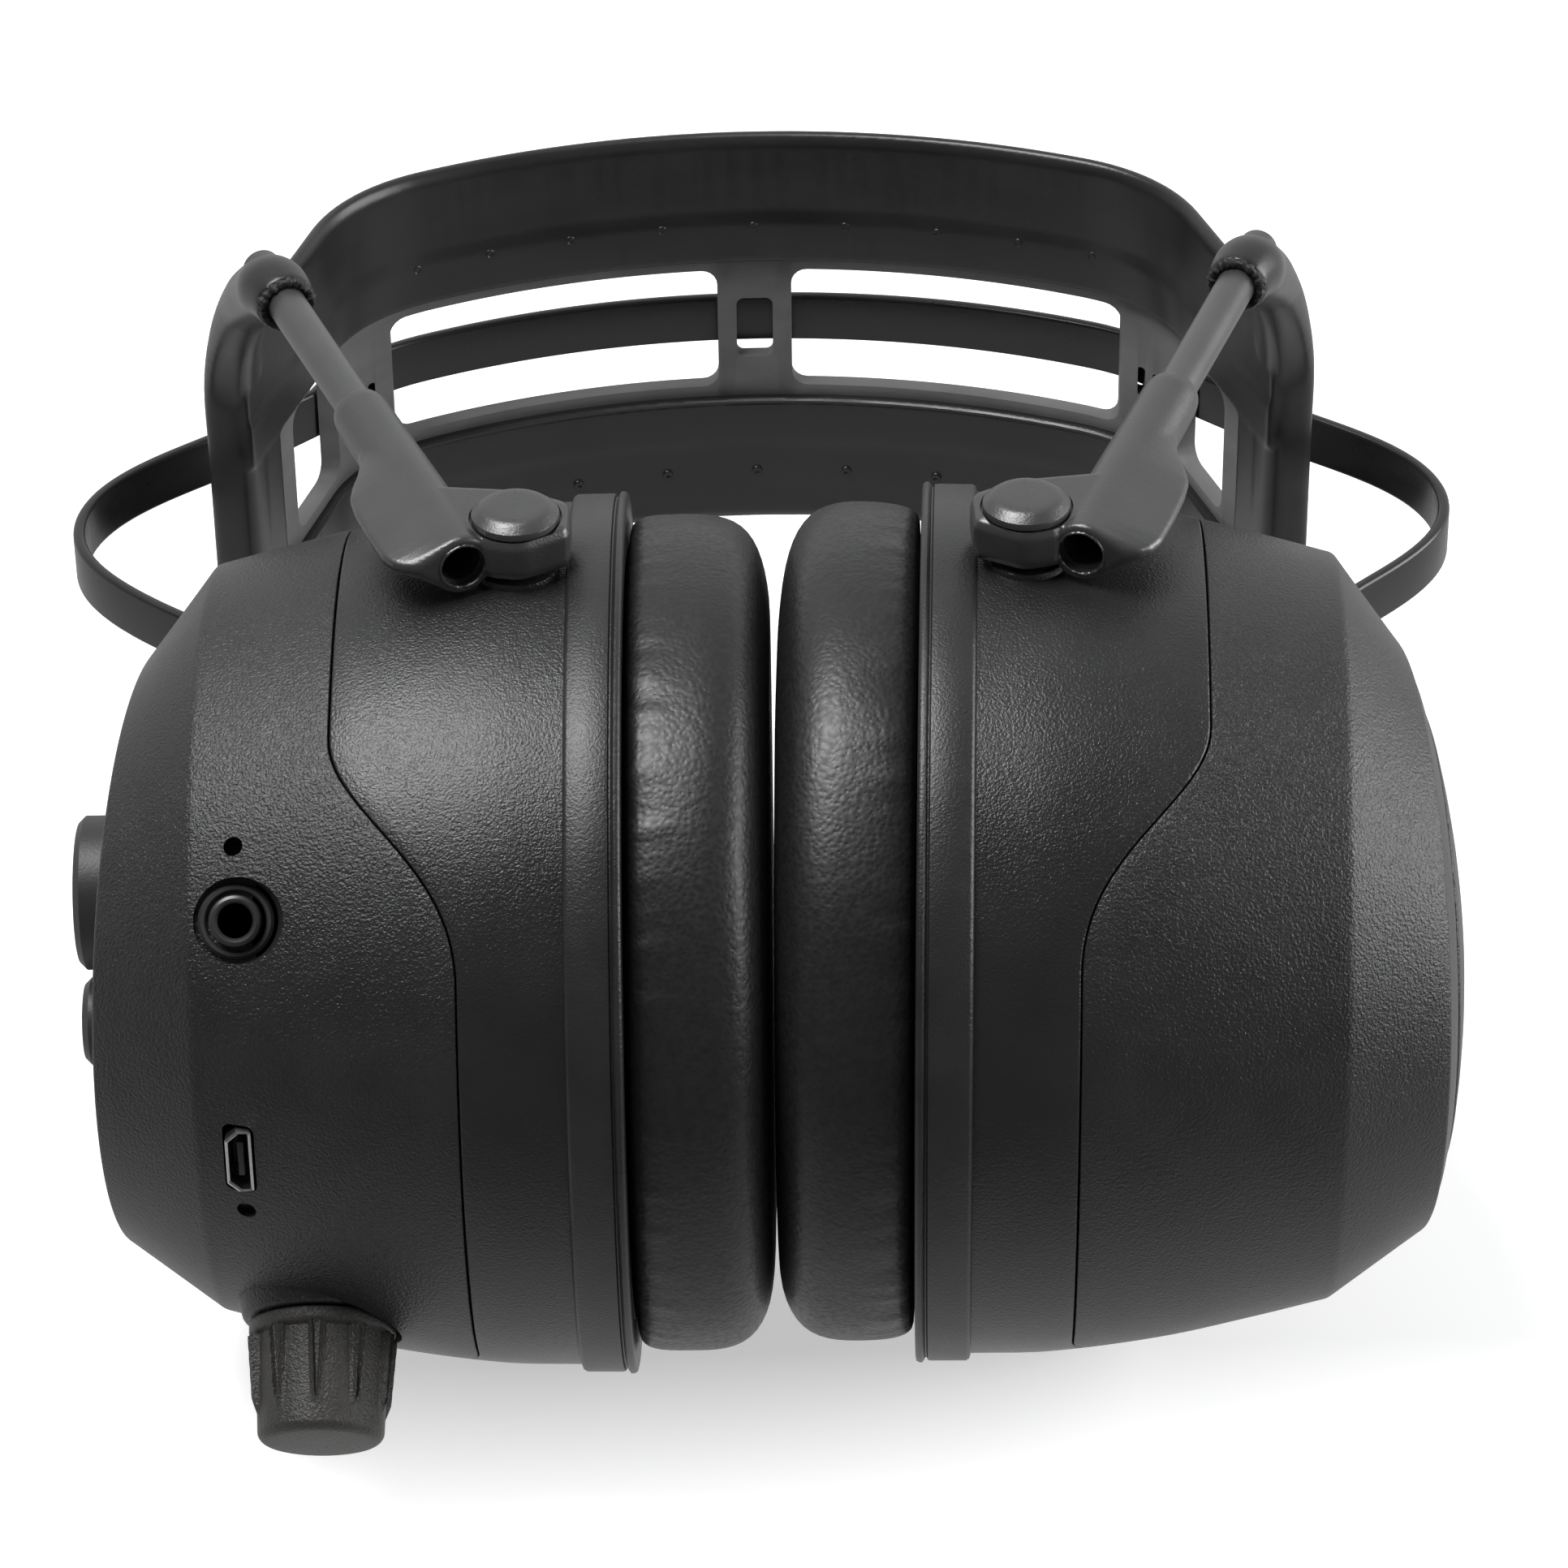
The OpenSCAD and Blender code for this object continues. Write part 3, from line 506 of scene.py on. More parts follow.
# Rings of the face by share of its radius; the close ones shape the seat of the battery cover
FACE_SHARES = (0.93, 0.87, 0.84, 0.836, 0.83, 0.826, 0.8, 0.7, 0.6, 0.5, 0.4, 0.3, 0.2, 0.1)
DOME_H, COVER_SHARE, COVER_RISE, COVER_FOOT = 5.0, 0.82, 0.18, -0.38
STUD_R, STUD_TOP = 4.4, 47.15
RIM_PROFILE = [(RIM_OUT, 42.5), (RIM_OUT, 46.9), (RIM_OUT - 0.15, 47.3), (RIM_OUT - 0.5, 47.5), (17.2, 47.55),
               (16.85, 47.5), (16.7, 47.2), (16.55, 47.2), (16.4, 47.5), (16.2, 47.75), (15.9, 47.75),
               (15.6, 47.6), (RIM_IN, 47.2), (RIM_IN, 44.4), (RIM_IN + 0.4, 43.9), (17.5, 43.6), (17.5, 42.5)]
CUSHION_BACK, CUSHION_SEED = 15.4, {"left": 3.0, "right": 8.0}
CUSHION_LINE = [(CUSHION_BACK, 43.4), (15.1, 44.1), (14.4, 44.75), (13.0, 45.2), (11.0, 45.4), (9.0, 45.45),
                (7.0, 45.4), (5.0, 45.0), (3.3, 44.1), (2.0, 42.5), (1.1, 40.3), (0.55, 37.6), (0.28, 34.6),
                (0.5, 31.9), (1.6, 29.5), (3.6, 27.6), (6.4, 26.5), (9.0, 26.2), (12.0, 26.5),
                (CUSHION_BACK, 27.3)]
# Both cushions are pressed flat near the plane halfway between the cups, which leans one degree
PRESS_U, PRESS_LEAN = 0.31, 0.0174
FOAM_R, FOAM_FRONT, FOAM_BACK = 25.4, 13.2, 15.5
GLAND_U, GLAND_HALF = 57.2, (1.9, 4.45)
JACK, MICROPHONE, SOCKET = on_wall(54.9, 37.6), on_wall(55.1, 48.1), on_wall(55.3, 2)
LIGHT, KNOB = on_wall(55, -7.4), on_wall(48.6, -36)
JACK_BORE_R, PINHOLE_R, DISH_R, SEAT_R, SHAFT_R = 1.9, 1.0, 4.35, 8.4, 4.6
SOCKET_CUT, SOCKET_HALF = (3.3, 8.3, 0.9), (3.75, 1.35)
KNOB_R, KNOB_END_R, KNOB_BASE, KNOB_TIP = 7.8, 6.65, 43.4, 56.6
BOSS_TOP, BOSS_FOOT = 43.2, 36
THROUGH_SIDE = 30, 50                  # a cutter of this reach passes right through the side
BUTTONS = ((16.5, (-6.3, 10.4)), (9.5, (-11.2, -3)), (5.3, (-13.8, -11.4)))
BUTTON_PLAY = 0.25


def side_r(u):
    """Radius of the housing at a station, on a smooth curve through the side line."""
    line = SIDE_LINE
    u = min(max(u, line[0][0]), line[-1][0])
    k = next(i for i in range(len(line) - 1) if u <= line[i + 1][0])
    (u0, r0), (u1, r1) = line[k], line[k + 1]

    def slope(i):
        a, b = line[max(i - 1, 0)], line[min(i + 1, len(line) - 1)]
        return (b[1] - a[1]) / (b[0] - a[0])
    t, w = (u - u0) / (u1 - u0), u1 - u0
    return ((2 * t ** 3 - 3 * t * t + 1) * r0 + (t ** 3 - 2 * t * t + t) * w * slope(k)
            + (3 * t * t - 2 * t ** 3) * r1 + (t ** 3 - t * t) * w * slope(k + 1))


def seam_u(angle):
    """Station of the seam at an angle from the crown side, towards up."""
    u = SEAM_HIGH
    for _ in range(12):
        y = side_r(u) * math.cos(angle - SEAM_TURN)
        t = min(max((SEAM_BEND_Y - y) / SEAM_BEND_SPAN, 0), 1)
        u = SEAM_LOW + (SEAM_HIGH - SEAM_LOW) * (1 + math.cos(math.pi * t)) / 2
    return u


def face_point(angle, share, sink=0.0):
    """A point of the tilted outer face; share 1 is its edge."""
    y = FACE_Y + FACE_R * share * math.cos(angle)
    return Vector((FACE_U + FACE_TILT * y - sink, y, FACE_R * share * math.sin(angle)))


def side_point(angle, u, sink=0.0):
    r = side_r(u) - sink
    return Vector((u, r * math.cos(angle), r * math.sin(angle)))


def flat_dome(share):
    """The left cup's face doesn't rise."""
    return 0.0


def right_dome(share):
    """Rise of the right cup's face above its flat edge, with a shallow seat under the battery cover."""
    seat = 0.4 * min(1, max(0, (COVER_SHARE + 0.02 - share) / 0.012))
    return DOME_H * (1 - share ** 2) - seat


def outer_column(angle, dome):
    """The outer housing's wall at one angle: outside, from the seam to the face's middle, and back inside."""
    start = seam_u(angle) + SEAM_GAP
    soft = start + SEAM_SOFT
    outside = [side_point(angle, start + du, sink) for du, sink in SEAM_EDGE]
    outside += [side_point(angle, soft + (CHAMFER_U - SIDE_SOFT - soft) * k / 14) for k in range(1, 15)]
    edge, rim = side_point(angle, CHAMFER_U), face_point(angle, 1)
    along = (rim - edge).normalized()
    before, after = outside[-1], edge + along * SIDE_SOFT
    outside += [pulled(before, edge, after, t) for t in (0.25, 0.5, 0.75, 1)]
    near, flat = rim - along * FACE_SOFT, face_point(angle, 1 - FACE_SOFT / FACE_R)
    outside += [after.lerp(near, k / 5) for k in range(1, 6)]
    outside += [pulled(near, rim, flat, t) for t in (0.33, 0.66, 1)]
    outside += [face_point(angle, s, -dome(s)) for s in FACE_SHARES]
    inside = [face_point(angle, s * 0.93, WALL) for s in (0.1, 0.5, 0.9, 0.97)]
    inside += [side_point(angle, u, WALL) for u in (CHAMFER_U - 0.8, 52, start)]
    return outside, inside


def outer_shell(dome):
    """The closed wall of an outer housing."""
    halves = [outer_column(angle, dome) for angle in around(WALL_STEPS)]
    middle = len(halves[0][0]) - 1         # the outside's last ring, which isn't joined to the inside's first
    columns = [outside + inside for outside, inside in halves]
    points = [column[i] for i in range(len(columns[0])) for column in columns]
    faces = grid(len(columns[0]), WALL_STEPS, close_rows=True)
    del faces[middle * WALL_STEPS:(middle + 1) * WALL_STEPS]
    hubs = {middle: face_point(0, 0, -dome(0)), middle + 1: face_point(0, 0, WALL)}
    return close_rings((points, faces), WALL_STEPS, hubs)


def cover_part():
    """The domed battery cover: a disc in its seat, with a softened edge."""
    levels = [(COVER_SHARE - 0.003, COVER_FOOT), (COVER_SHARE, -0.3), (COVER_SHARE, 0.0),
              (COVER_SHARE - 0.003, 0.1), (COVER_SHARE - 0.01, 0.16)]
    levels += [(k / 10, COVER_RISE) for k in range(8, 0, -1)]
    steps = 192
    points = [face_point(angle, share, -DOME_H * (1 - share ** 2) - rise)
              for share, rise in levels for angle in around(steps)]
    hubs = {len(levels) - 1: face_point(0, 0, -DOME_H - COVER_RISE),
            0: face_point(0, 0, -DOME_H * (1 - COVER_SHARE ** 2) - COVER_FOOT)}
    return close_rings((points, grid(len(levels), steps)), steps, hubs)


def inner_shell():
    """The closed wall of an inner housing, from under the rim to the seam."""
    rows = []
    for angle in around(WALL_STEPS):
        end = seam_u(angle) - SEAM_GAP
        row = [side_point(angle, SHELL_START)]
        row += [side_point(angle, RIM_OUT + (end - SEAM_SOFT - RIM_OUT) * i / 12) for i in range(13)]
        row += [side_point(angle, end - du, sink) for du, sink in reversed(SEAM_EDGE[:3])]
        row += [side_point(angle, u, WALL) for u in (end, 30, SHELL_START)]
        rows.append(row)
    return [p for row in rows for p in row], grid(WALL_STEPS, len(rows[0]), close_rows=True)


def cup_lathe(profile, steps=WALL_STEPS, closed=True):
    """Turns a profile of (station, radius) round the cup's axis."""
    points = [(u, r * math.cos(a), r * math.sin(a)) for u, r in profile for a in around(steps)]
    return points, grid(len(profile), steps, closed)


def cushion_part(seed):
    """A stuffed ring: it pulls in under the rim and at the ear opening, and puckers where it is gathered."""
    steps, height = 360, 0.35      # height of the puckers and of the slow waves
    points = []
    for u, r in CUSHION_LINE:
        gathered = math.exp(-((u - 14.2) / 2.6) ** 2) if r > 35 else 0.3 * math.exp(-((u - 9) / 6) ** 2)
        full = math.sin(math.pi * min(max((CUSHION_BACK - u) / 14, 0), 1)) if r > 30 else 0
        for a in around(steps):
            c, s = math.cos(a), math.sin(a)
            pucker = noise.noise(Vector((c * 46, s * 46, seed)) * 0.55) * height * gathered
            slow = noise.noise(Vector((c * 9, s * 9, u * 0.12 + seed)) * 0.35) * height * full
            reach = r + pucker + slow
            points.append((max(u, PRESS_U - PRESS_LEAN * reach * c), reach * c, reach * s))
    return points, grid(len(CUSHION_LINE), steps, close_rows=True)


def foam_part():
    """The ear pad: a flat disc whose front edge is softened."""
    steps, rings = 96, 10
    shares = [k / rings for k in range(1, rings + 1)]
    profile = [(FOAM_BACK, FOAM_R * share) for share in shares]
    profile += [(FOAM_FRONT + 0.6, FOAM_R), (FOAM_FRONT + 0.1, FOAM_R - 0.5)]
    profile += [(FOAM_FRONT, FOAM_R * share) for share in shares[-2::-1]]
    hubs = {0: (FOAM_BACK, 0, 0), len(profile) - 1: (FOAM_FRONT, 0, 0)}
    return close_rings(cup_lathe(profile, steps, closed=False), steps, hubs)


def stud_part(front):
    """The round stud with a softened top that carries a pivot, towards the front (1) or the rear (-1)."""
    low, soft = SHELL_R - 2, 0.4
    profile = [(low, 0.01), (low, STUD_R), (STUD_TOP - soft, STUD_R),
               (STUD_TOP - soft * 0.3, STUD_R - soft * 0.3), (STUD_TOP, STUD_R - soft), (STUD_TOP, 0.01)]
    return moved(lathe(profile, 64), Matrix.Translation((PIVOT.x, 0, 0)) @ Matrix.Diagonal((1, 1, front, 1)))


def rod_part(radius, low, high, flare=0.0, flare_from=0.0, steps=64):
    """A round bar along +Z that may widen towards its end."""
    profile = [(low, 0), (low, radius)]
    if flare:
        profile += [(flare_from + (high - flare_from) * t, radius + flare * t ** 2.2)
                    for t in (0, 0.2, 0.4, 0.6, 0.8, 1.0)]
    else:
        profile.append((high, radius))
    return lathe(profile + [(high, 0)], steps)


def box_part(low, high):
    (x0, y0, z0), (x1, y1, z1) = low, high
    points = [(x, y, z) for z in (z0, z1) for y in (y0, y1) for x in (x0, x1)]
    return points, [(0, 2, 3, 1), (4, 5, 7, 6), (0, 1, 5, 4), (2, 6, 7, 3), (0, 4, 6, 2), (1, 3, 7, 5)]


def openings(side):
    """What is cut out of an outer housing, each with its place in the cup's frame."""
    du, dz = GLAND_HALF
    cutters = [(box_part((GLAND_U - du, 30, -dz), (GLAND_U + du, 48, dz)), Matrix())]
    if side == "left":
        # The jack's dish with its flared lip, the bore behind it, and the microphone's and the light's holes
        cutters += [(rod_part(DISH_R, 39.6, 44.2, flare=1.9, flare_from=40.6), JACK),
                    (rod_part(JACK_BORE_R, *THROUGH_SIDE, steps=48), JACK),
                    (rod_part(PINHOLE_R, *THROUGH_SIDE, flare=0.35, flare_from=41.2, steps=32), MICROPHONE),
                    (rod_part(PINHOLE_R, *THROUGH_SIDE, flare=0.25, flare_from=41.3, steps=32), LIGHT),
                    (prism(round_box(*SOCKET_CUT), *THROUGH_SIDE), SOCKET)]
        # The knob's seat and the hole for its shaft
        cutters += [(rod_part(SEAT_R, BOSS_TOP, 60), KNOB), (rod_part(SHAFT_R, 20, 60, steps=48), KNOB)]
        cutters += [(rod_part(width / 2 + BUTTON_PLAY, 60, 80), on_face(*at)) for width, at in BUTTONS]
    return cutters


def make_cup(side):
    place, body = cup_place(side), side + "_cup"
    build("housing_inner_" + side, join(inner_shell(), stud_part(1), stud_part(-1)), place, BLASTED_ABS, body,
          ["inner_housing_" + side])
    build("rim_band_" + side, cup_lathe(RIM_PROFILE), place, RIM_PP, body, ["rim_" + side], 50)
    pad = build("ear_cushion_" + side, cushion_part(CUSHION_SEED[side]), place, LEATHERETTE, body,
                ["cushion_" + side], 80)
    soften = pad.modifiers.new("round", "SUBSURF")
    soften.levels = soften.render_levels = 1
    foam = build("ear_pad_foam_" + side, foam_part(), place, OPEN_FOAM, body,
                 ["ear_foam_" + side], 50)
    if side == "right":
        build("battery_cover", cover_part(), place, SPARKED_ABS, body, ["cover_right"], 40)
    shell = loose("housing_outer_" + side, outer_shell(right_dome if side == "right" else flat_dome))
    for part, at in openings(side):
        shell = cut(shell, part, at)
    mesh = applied(shell)
    mesh.transform(TO_METRES @ place)
    finish_piece("housing_outer_" + side, mesh, SPARKED_ABS, body,
                 ["outer_housing_" + side], 30)


def left_wall_piece(name, part, at, material, stands_for, crease):
    """A small piece set in the wall of the left cup."""
    build(name, part, cup_place("left") @ at, material, "left_cup", stands_for, crease)


def make_jack():
    """Headphone socket: a pale chamfered bush in its dish, its bore lined with painted shade, and a dark
    collar.
    """
    bush = [(39.0, 1.8), (41.35, 1.8), (41.6, 2.0), (41.65, 2.25), (41.5, 2.55), (41.3, 2.68), (39.0, 2.68)]
    bore_shade_line = [(31.0, 0.02), (31.0, 1.95), (41.2, 1.95), (41.2, 1.74), (31.6, 1.74), (31.6, 0.02)]
    collar = [(39.0, 3.1), (40.3, 3.1), (40.45, 3.25), (40.45, 3.6), (40.2, 3.9), (39.0, 3.95)]
    # The black sleeve in the bore is painted shade
    for name, line, material, stands_for in (("jack_bush", bush, BUSH_ABS, ["jack_socket"]),
                                             ("jack_bore_shade", bore_shade_line, BORE_PAINTED_SHADE, ()),
                                             ("jack_collar", collar, INSIDE_PLASTIC, ())):
        left_wall_piece(name, lathe(line, closed=True), JACK, material, stands_for, 30)


def make_knob_boss():
    """The flat-topped boss under the knob; it stands clear of the housing all round."""
    profile = [(BOSS_FOOT, 5.2), (BOSS_TOP, 5.2), (BOSS_TOP, 8.1), (BOSS_TOP - 0.1, 8.3),
               (BOSS_TOP - 0.4, 8.5), (BOSS_FOOT, 10.6)]
    boss = lathe(profile, 128, closed=True)
    left_wall_piece("knob_boss", boss, KNOB, SPARKED_ABS, (), 35)


def make_socket():
    """Charging socket: a folded steel shell with two chamfered corners, a dark block in it and its tongue."""
    def outline(grow, radius):
        w, h = (half + grow for half in SOCKET_HALF)
        corners = [(h, w - 1.05), (h - 1.15, w), (-h, w), (-h, -w), (h - 1.15, -w), (h, -w + 1.05)]
        return ring_round(corners, (radius,) * 6, 3)
    low, high = 36.4, 42.0
    outer, inner = outline(0.0, 0.3), outline(-0.3, 0.2)
    lip = [o.lerp(i, 0.5) for o, i in zip(outer, inner)]
    rings = [(outer, low), (outer, high), (lip, high + 0.12), (inner, high), (inner, low)]
    shell = [(x, y, z) for ring, z in rings for x, y in ring], grid(len(rings), len(outer), close_rows=True)
    left_wall_piece("charging_shell", shell, SOCKET, PLATED_STEEL, ["usb_socket"], 40)
    block = prism(outline(-0.36, 0.2), low + 0.2, 38.6, edge=0.1)
    left_wall_piece("charging_block", block, SOCKET, INSIDE_PLASTIC, (), 30)
    tongue = prism(round_box(0.65, 4.2, 0.15), 38.0, high - 0.5, edge=0.1)
    at = SOCKET @ Matrix.Translation((-0.15, 0, 0))
    left_wall_piece("charging_tongue", tongue, at, INSIDE_PLASTIC, (), 30)


for side in SIDES:
    make_cup(side)
make_socket()
make_jack()
make_knob_boss()


# ---------------------------------------------------------------- headband
def toward(angle):
    """The direction at an angle from the X axis."""
    return Vector((math.cos(angle), math.sin(angle)))


def flat3(p, z):
    return Vector((p.x, p.y, z))


CROWN_Y, CROWN_R, CROWN_TURN = 132, 98.6, math.radians(24.7)
CORNER_R, SIDE_LEAN, SIDE_END_Y = 22.4, math.radians(17.5), 82.2
WEB_T, WEB_HALF = 2.2, 10.8
WINDOW_H, BAR_W, WINDOW_END = 16.8, 9.4, 45.8
SIDE_WINDOW = 13.9
ROD_R, ROD_Z, ROD_LEAN = 2.15, 49.8, math.radians(20.5)
SLEEVE_FOOT, SLEEVE_L, ROD_BARE = Vector((31.9, -4.6)), 34.8, 24.8
PIVOT_X = 26.5
BAND_STEP = 1.6      # distance between sections of the band

CROWN_EDGE = math.pi / 2 - CROWN_TURN
CROWN_C = Vector((0, CROWN_Y - CROWN_R))
CORNER_C = CROWN_C + (CROWN_R - CORNER_R) * toward(CROWN_EDGE)
SIDE_N = toward(SIDE_LEAN)
SIDE_A = CORNER_C + CORNER_R * SIDE_N
SIDE_DIR = Vector((math.sin(SIDE_LEAN), -math.cos(SIDE_LEAN)))
SIDE_L = (SIDE_A.y - SIDE_END_Y) / math.cos(SIDE_LEAN)
ROD_DIR = Vector((math.sin(ROD_LEAN), math.cos(ROD_LEAN)))
COLLAR = SLEEVE_FOOT + (SLEEVE_L + ROD_BARE) * ROD_DIR

# One rail: proud on the head side, with a soft crease, and rounded at the band's edge
RAIL = ring_round([(-1.2, 9.9), (-1.25, 15.6), (-1.0, 17.2), (-1.1, 26.6), (-0.5, 27.8), (0.4, 28.0),
                   (1.4, 26.4), (2.1, 22.5), (2.2, 9.9)], (0.35, 1.2, 1.2, 0.5, 0.5, 0.5, 1.0, 1.0, 0.4))
WEB = [(0, -WEB_HALF), (WEB_T, -WEB_HALF), (WEB_T, WEB_HALF), (0, WEB_HALF)]
# A gate mark: a flat button with a dimple, and its places along the upper and the lower rail
MARK = [(-0.5, 0.02), (-0.5, 0.66), (0.02, 0.66), (0.16, 0.56), (0.2, 0.45), (0.12, 0.34), (0.05, 0.18),
        (0.04, 0.02)]
MARK_PLACES = [(x, 15.2) for x in (-42, -33, -23, -11.5, 0, 11.5, 23, 33, 42)]
MARK_PLACES += [(x, -20.5) for x in (-23, -11.5, 0, 11.5, 23)]
MIRROR_X, MIRROR_Z = Matrix.Diagonal((-1, 1, 1, 1)), Matrix.Diagonal((1, 1, -1, 1))
QUARTER_TURN = math.radians(90)


def half_band(short):
    """Points and outward normals of the right half of the band's inner line, from the crown to its end."""
    out = []
    for middle, radius, start, turn in ((CROWN_C, CROWN_R, math.pi / 2, CROWN_TURN),
                                        (CORNER_C, CORNER_R, CROWN_EDGE, CROWN_EDGE - SIDE_LEAN)):
        count = round(radius * turn / BAND_STEP)
        for k in range(count):
            normal = toward(start - turn * k / count)
            out.append((middle + radius * normal, normal))
    count = round(SIDE_L / BAND_STEP)
    return out + [(SIDE_A + SIDE_DIR * (SIDE_L - short) * k / count, SIDE_N) for k in range(count + 1)]


def whole_band(short=0.0):
    """The same from the left end to the right; each end may be shorter."""
    right = half_band(short)
    return [(Vector((-p.x, p.y)), Vector((-n.x, n.y))) for p, n in right[:0:-1]] + right


def band_strip(section, short=0.4):
    """Carries a closed section of (out from the inner line, height) along the band."""
    line = whole_band(short)
    points = [(p.x + n.x * a, p.y + n.y * a, z) for p, n in line for a, z in section]
    return points, capped(len(line), len(section))


def tube_part(stops, sizes, sides=32):
    """A bar through stops; each size is (half width, half depth, squareness), and the ends are round."""
    steps = 8
    path = smooth_line(stops, steps)
    sizes = [Vector(size) for size in sizes]
    shape = [a.lerp(b, k / steps) for a, b in zip(sizes, sizes[1:]) for k in range(steps)] + [sizes[-1]]
    normal = SIDE_N.to_3d()
    points = []
    for i, p in enumerate(path):
        ahead = heading(path, i)
        normal = (normal - ahead * normal.dot(ahead)).normalized()
        other = ahead.cross(normal)
        wide, deep, square = shape[i]
        for a in around(sides):
            c, s = math.cos(a), math.sin(a)
            reach = (abs(c) ** square + abs(s) ** square) ** (-1 / square)
            points.append(p + normal * c * reach * wide + other * s * reach * deep)
    return points, capped(len(path), sides)


def four_ways(part):
    return [moved(part, m) for m in (Matrix(), MIRROR_X, MIRROR_Z, MIRROR_X @ MIRROR_Z)]


def turned_prism(width, height, radius, place, axis, reach=12):
    """A cutter with rounded corners that runs along an axis of the band."""
    return moved(prism(round_box(width, height, radius), -reach, reach, edge=0.01),
                 Matrix.Translation(place) @ Matrix.Rotation(QUARTER_TURN, 4, axis))


def make_web():
    """The thin web between the rails, with its windows and slots, and softened edges."""
    web = loose("band_web", band_strip(WEB, 3))
    wide = WINDOW_END - BAR_W / 2
    cuts = []
    for sx in (1, -1):
        long_window, side_window = (sx * (BAR_W + wide) / 2, CROWN_Y - 15, 0), (sx * 65, SIDE_A.y - 4.55, 0)
        cuts += [turned_prism(wide, WINDOW_H, 2.0, long_window, "X", reach=45),
                 turned_prism(WINDOW_H, SIDE_WINDOW, 2.2, side_window, "Y", reach=20)]
        # Two small slots in each side bar
        cuts += [turned_prism(0.9, 4.2, 0.4, (sx * x, 116, -1.0), "X") for x in (48.3, 50.0)]
    cuts.append(turned_prism(4.6, 8.5, 0.9, (0, CROWN_Y, 0), "X"))
    for part in cuts:
        web = cut(web, part)
    edge = web.modifiers.new("edge", "BEVEL")
    edge.width = 0.3
    edge.segments = 2
    edge.limit_method = "ANGLE"
    edge.angle_limit = math.radians(50)
    edge.use_clamp_overlap = True
    mesh = applied(web)
    mesh.transform(TO_METRES @ BAND)
    # The web's paler colour is painted light from above
    finish_piece("band_web", mesh, WEB_NYLON_PAINTED_LIT, "headband", ["headband"], 30)


def rail_marks():
    """Small raised gate marks along the rails, sunk in their faces."""
    marks = []
    for x, z in MARK_PLACES:
        a = math.asin(x / (CROWN_R - 1.2))
        spot = Vector((x, CROWN_C.y + (CROWN_R - 1.15) * math.cos(a), z))
        inward = Matrix.Rotation(-a, 4, "Z") @ Matrix.Rotation(QUARTER_TURN, 4, "X")
        marks.append(moved(lathe(MARK, 20), Matrix.Translation(spot) @ inward))
    return marks


def flash_line():
    """The rough lip that a worn tool leaves along the lower rail's upper edge."""
    path = [flat3(p - n * 1.1, -10.2) for p, n in whole_band(9)]
    rng = random.Random(4)
    tall = [0.16 + 0.2 * abs(noise.noise(Vector((i * 0.9, 0.3, 0)))) + 0.05 * rng.random()
            for i in range(len(path))]

    def section(i):
        return [(0.22, -0.25), (0.22, tall[i] * 0.4), (0.02, tall[i]), (-0.12, tall[i] * 0.7), (-0.2, -0.25)]
    return sweep(path, section)


def rough_ring(radius, height, seed, bulk):
    """A ragged ring of flash round the mouth of a hole, in the hole's own frame."""
    steps, sides = 120, 6
    points = []
    for a in around(steps):
        c, s = math.cos(a), math.sin(a)
        size = bulk * (0.7 + 0.9 * abs(noise.noise(Vector((c * 4, s * 4, seed)))))
        for b in around(sides):
            lump = size * (1 + 0.35 * noise.noise(Vector((c * 5, s * 5, seed + b * 0.6))))
            r = radius + lump * math.cos(b)
            points.append((r * c, r * s, height + lump * math.sin(b)))
    return points, grid(steps, sides, close_rows=True)


def on_collar():
    """The frame of a collar's mouth: Z along its rod, out of the collar."""
    out = Matrix.Rotation(-ROD_LEAN, 4, "Z") @ Matrix.Rotation(QUARTER_TURN, 4, "X")
    return Matrix.Translation((COLLAR.x, COLLAR.y, ROD_Z)) @ out


def on_side(before_end, out):
    """A point by the straight side of the band."""
    return SIDE_A + (SIDE_L - before_end) * SIDE_DIR + out * SIDE_N


def make_band():
    """The rails in one skin with their end bars, arms and marks, the collars' flash, and the web."""
    # End bars that run up into the elbows and collars
    foot, bend = on_side(3.4, 2.0), COLLAR + 5.5 * ROD_DIR
    stops = [(foot, -1), (foot, 10), (foot, 20), (foot.lerp(bend, 0.16), 29), (foot.lerp(bend, 0.45), 38),
             (foot.lerp(bend, 0.82) - 0.3 * SIDE_N, 45.9), (bend, 49.1), (bend - 2.4 * ROD_DIR, ROD_Z),
             (COLLAR, ROD_Z)]
    sizes = [(3.0, 3.5, 3.6)] * 3 + [(3.0, 3.3, 3.2), (3.1, 3.2, 2.8), (3.7, 3.7, 2.3), (3.95, 3.8, 2),
                                     (3.8, 3.7, 2), (3.4, 3.4, 2)]
    arm = tube_part([flat3(p, z) for p, z in stops], sizes)
    block = [on_side(a, b) for a, b in ((5, -0.9), (5, 4.9), (10.5, 2.1), (10.5, -0.9))]
    end = prism(block, -26.8, 26.8, edge=0.9)
    rail = band_strip(RAIL)
    whole = join(rail, moved(rail, MIRROR_Z), end, moved(end, MIRROR_X), *four_ways(arm))
    skin = fused("band_rails", whole, voxel=0.38, relax=4)
    thin = skin.modifiers.new("thin", "DECIMATE")
    thin.ratio = 0.25
    rails = join(as_part(applied(skin)), *rail_marks(), flash_line())
    flash = four_ways(moved(rough_ring(2.8, height=-0.12, seed=2.0, bulk=0.6), on_collar()))
    build("collar_flash", join(*flash), BAND, FLASH_NYLON, "headband", (), 60)
    make_web()
    build("band_rails", rails, BAND, BAND_NYLON, "headband", ["headband"], 40)


make_band()


# ---------------------------------------------------------------- brackets and pivots
PLATE_LOW, PLATE_HIGH, HEAD_R, STAND_Z = 47.6, 52.9, 4.6, 54.3
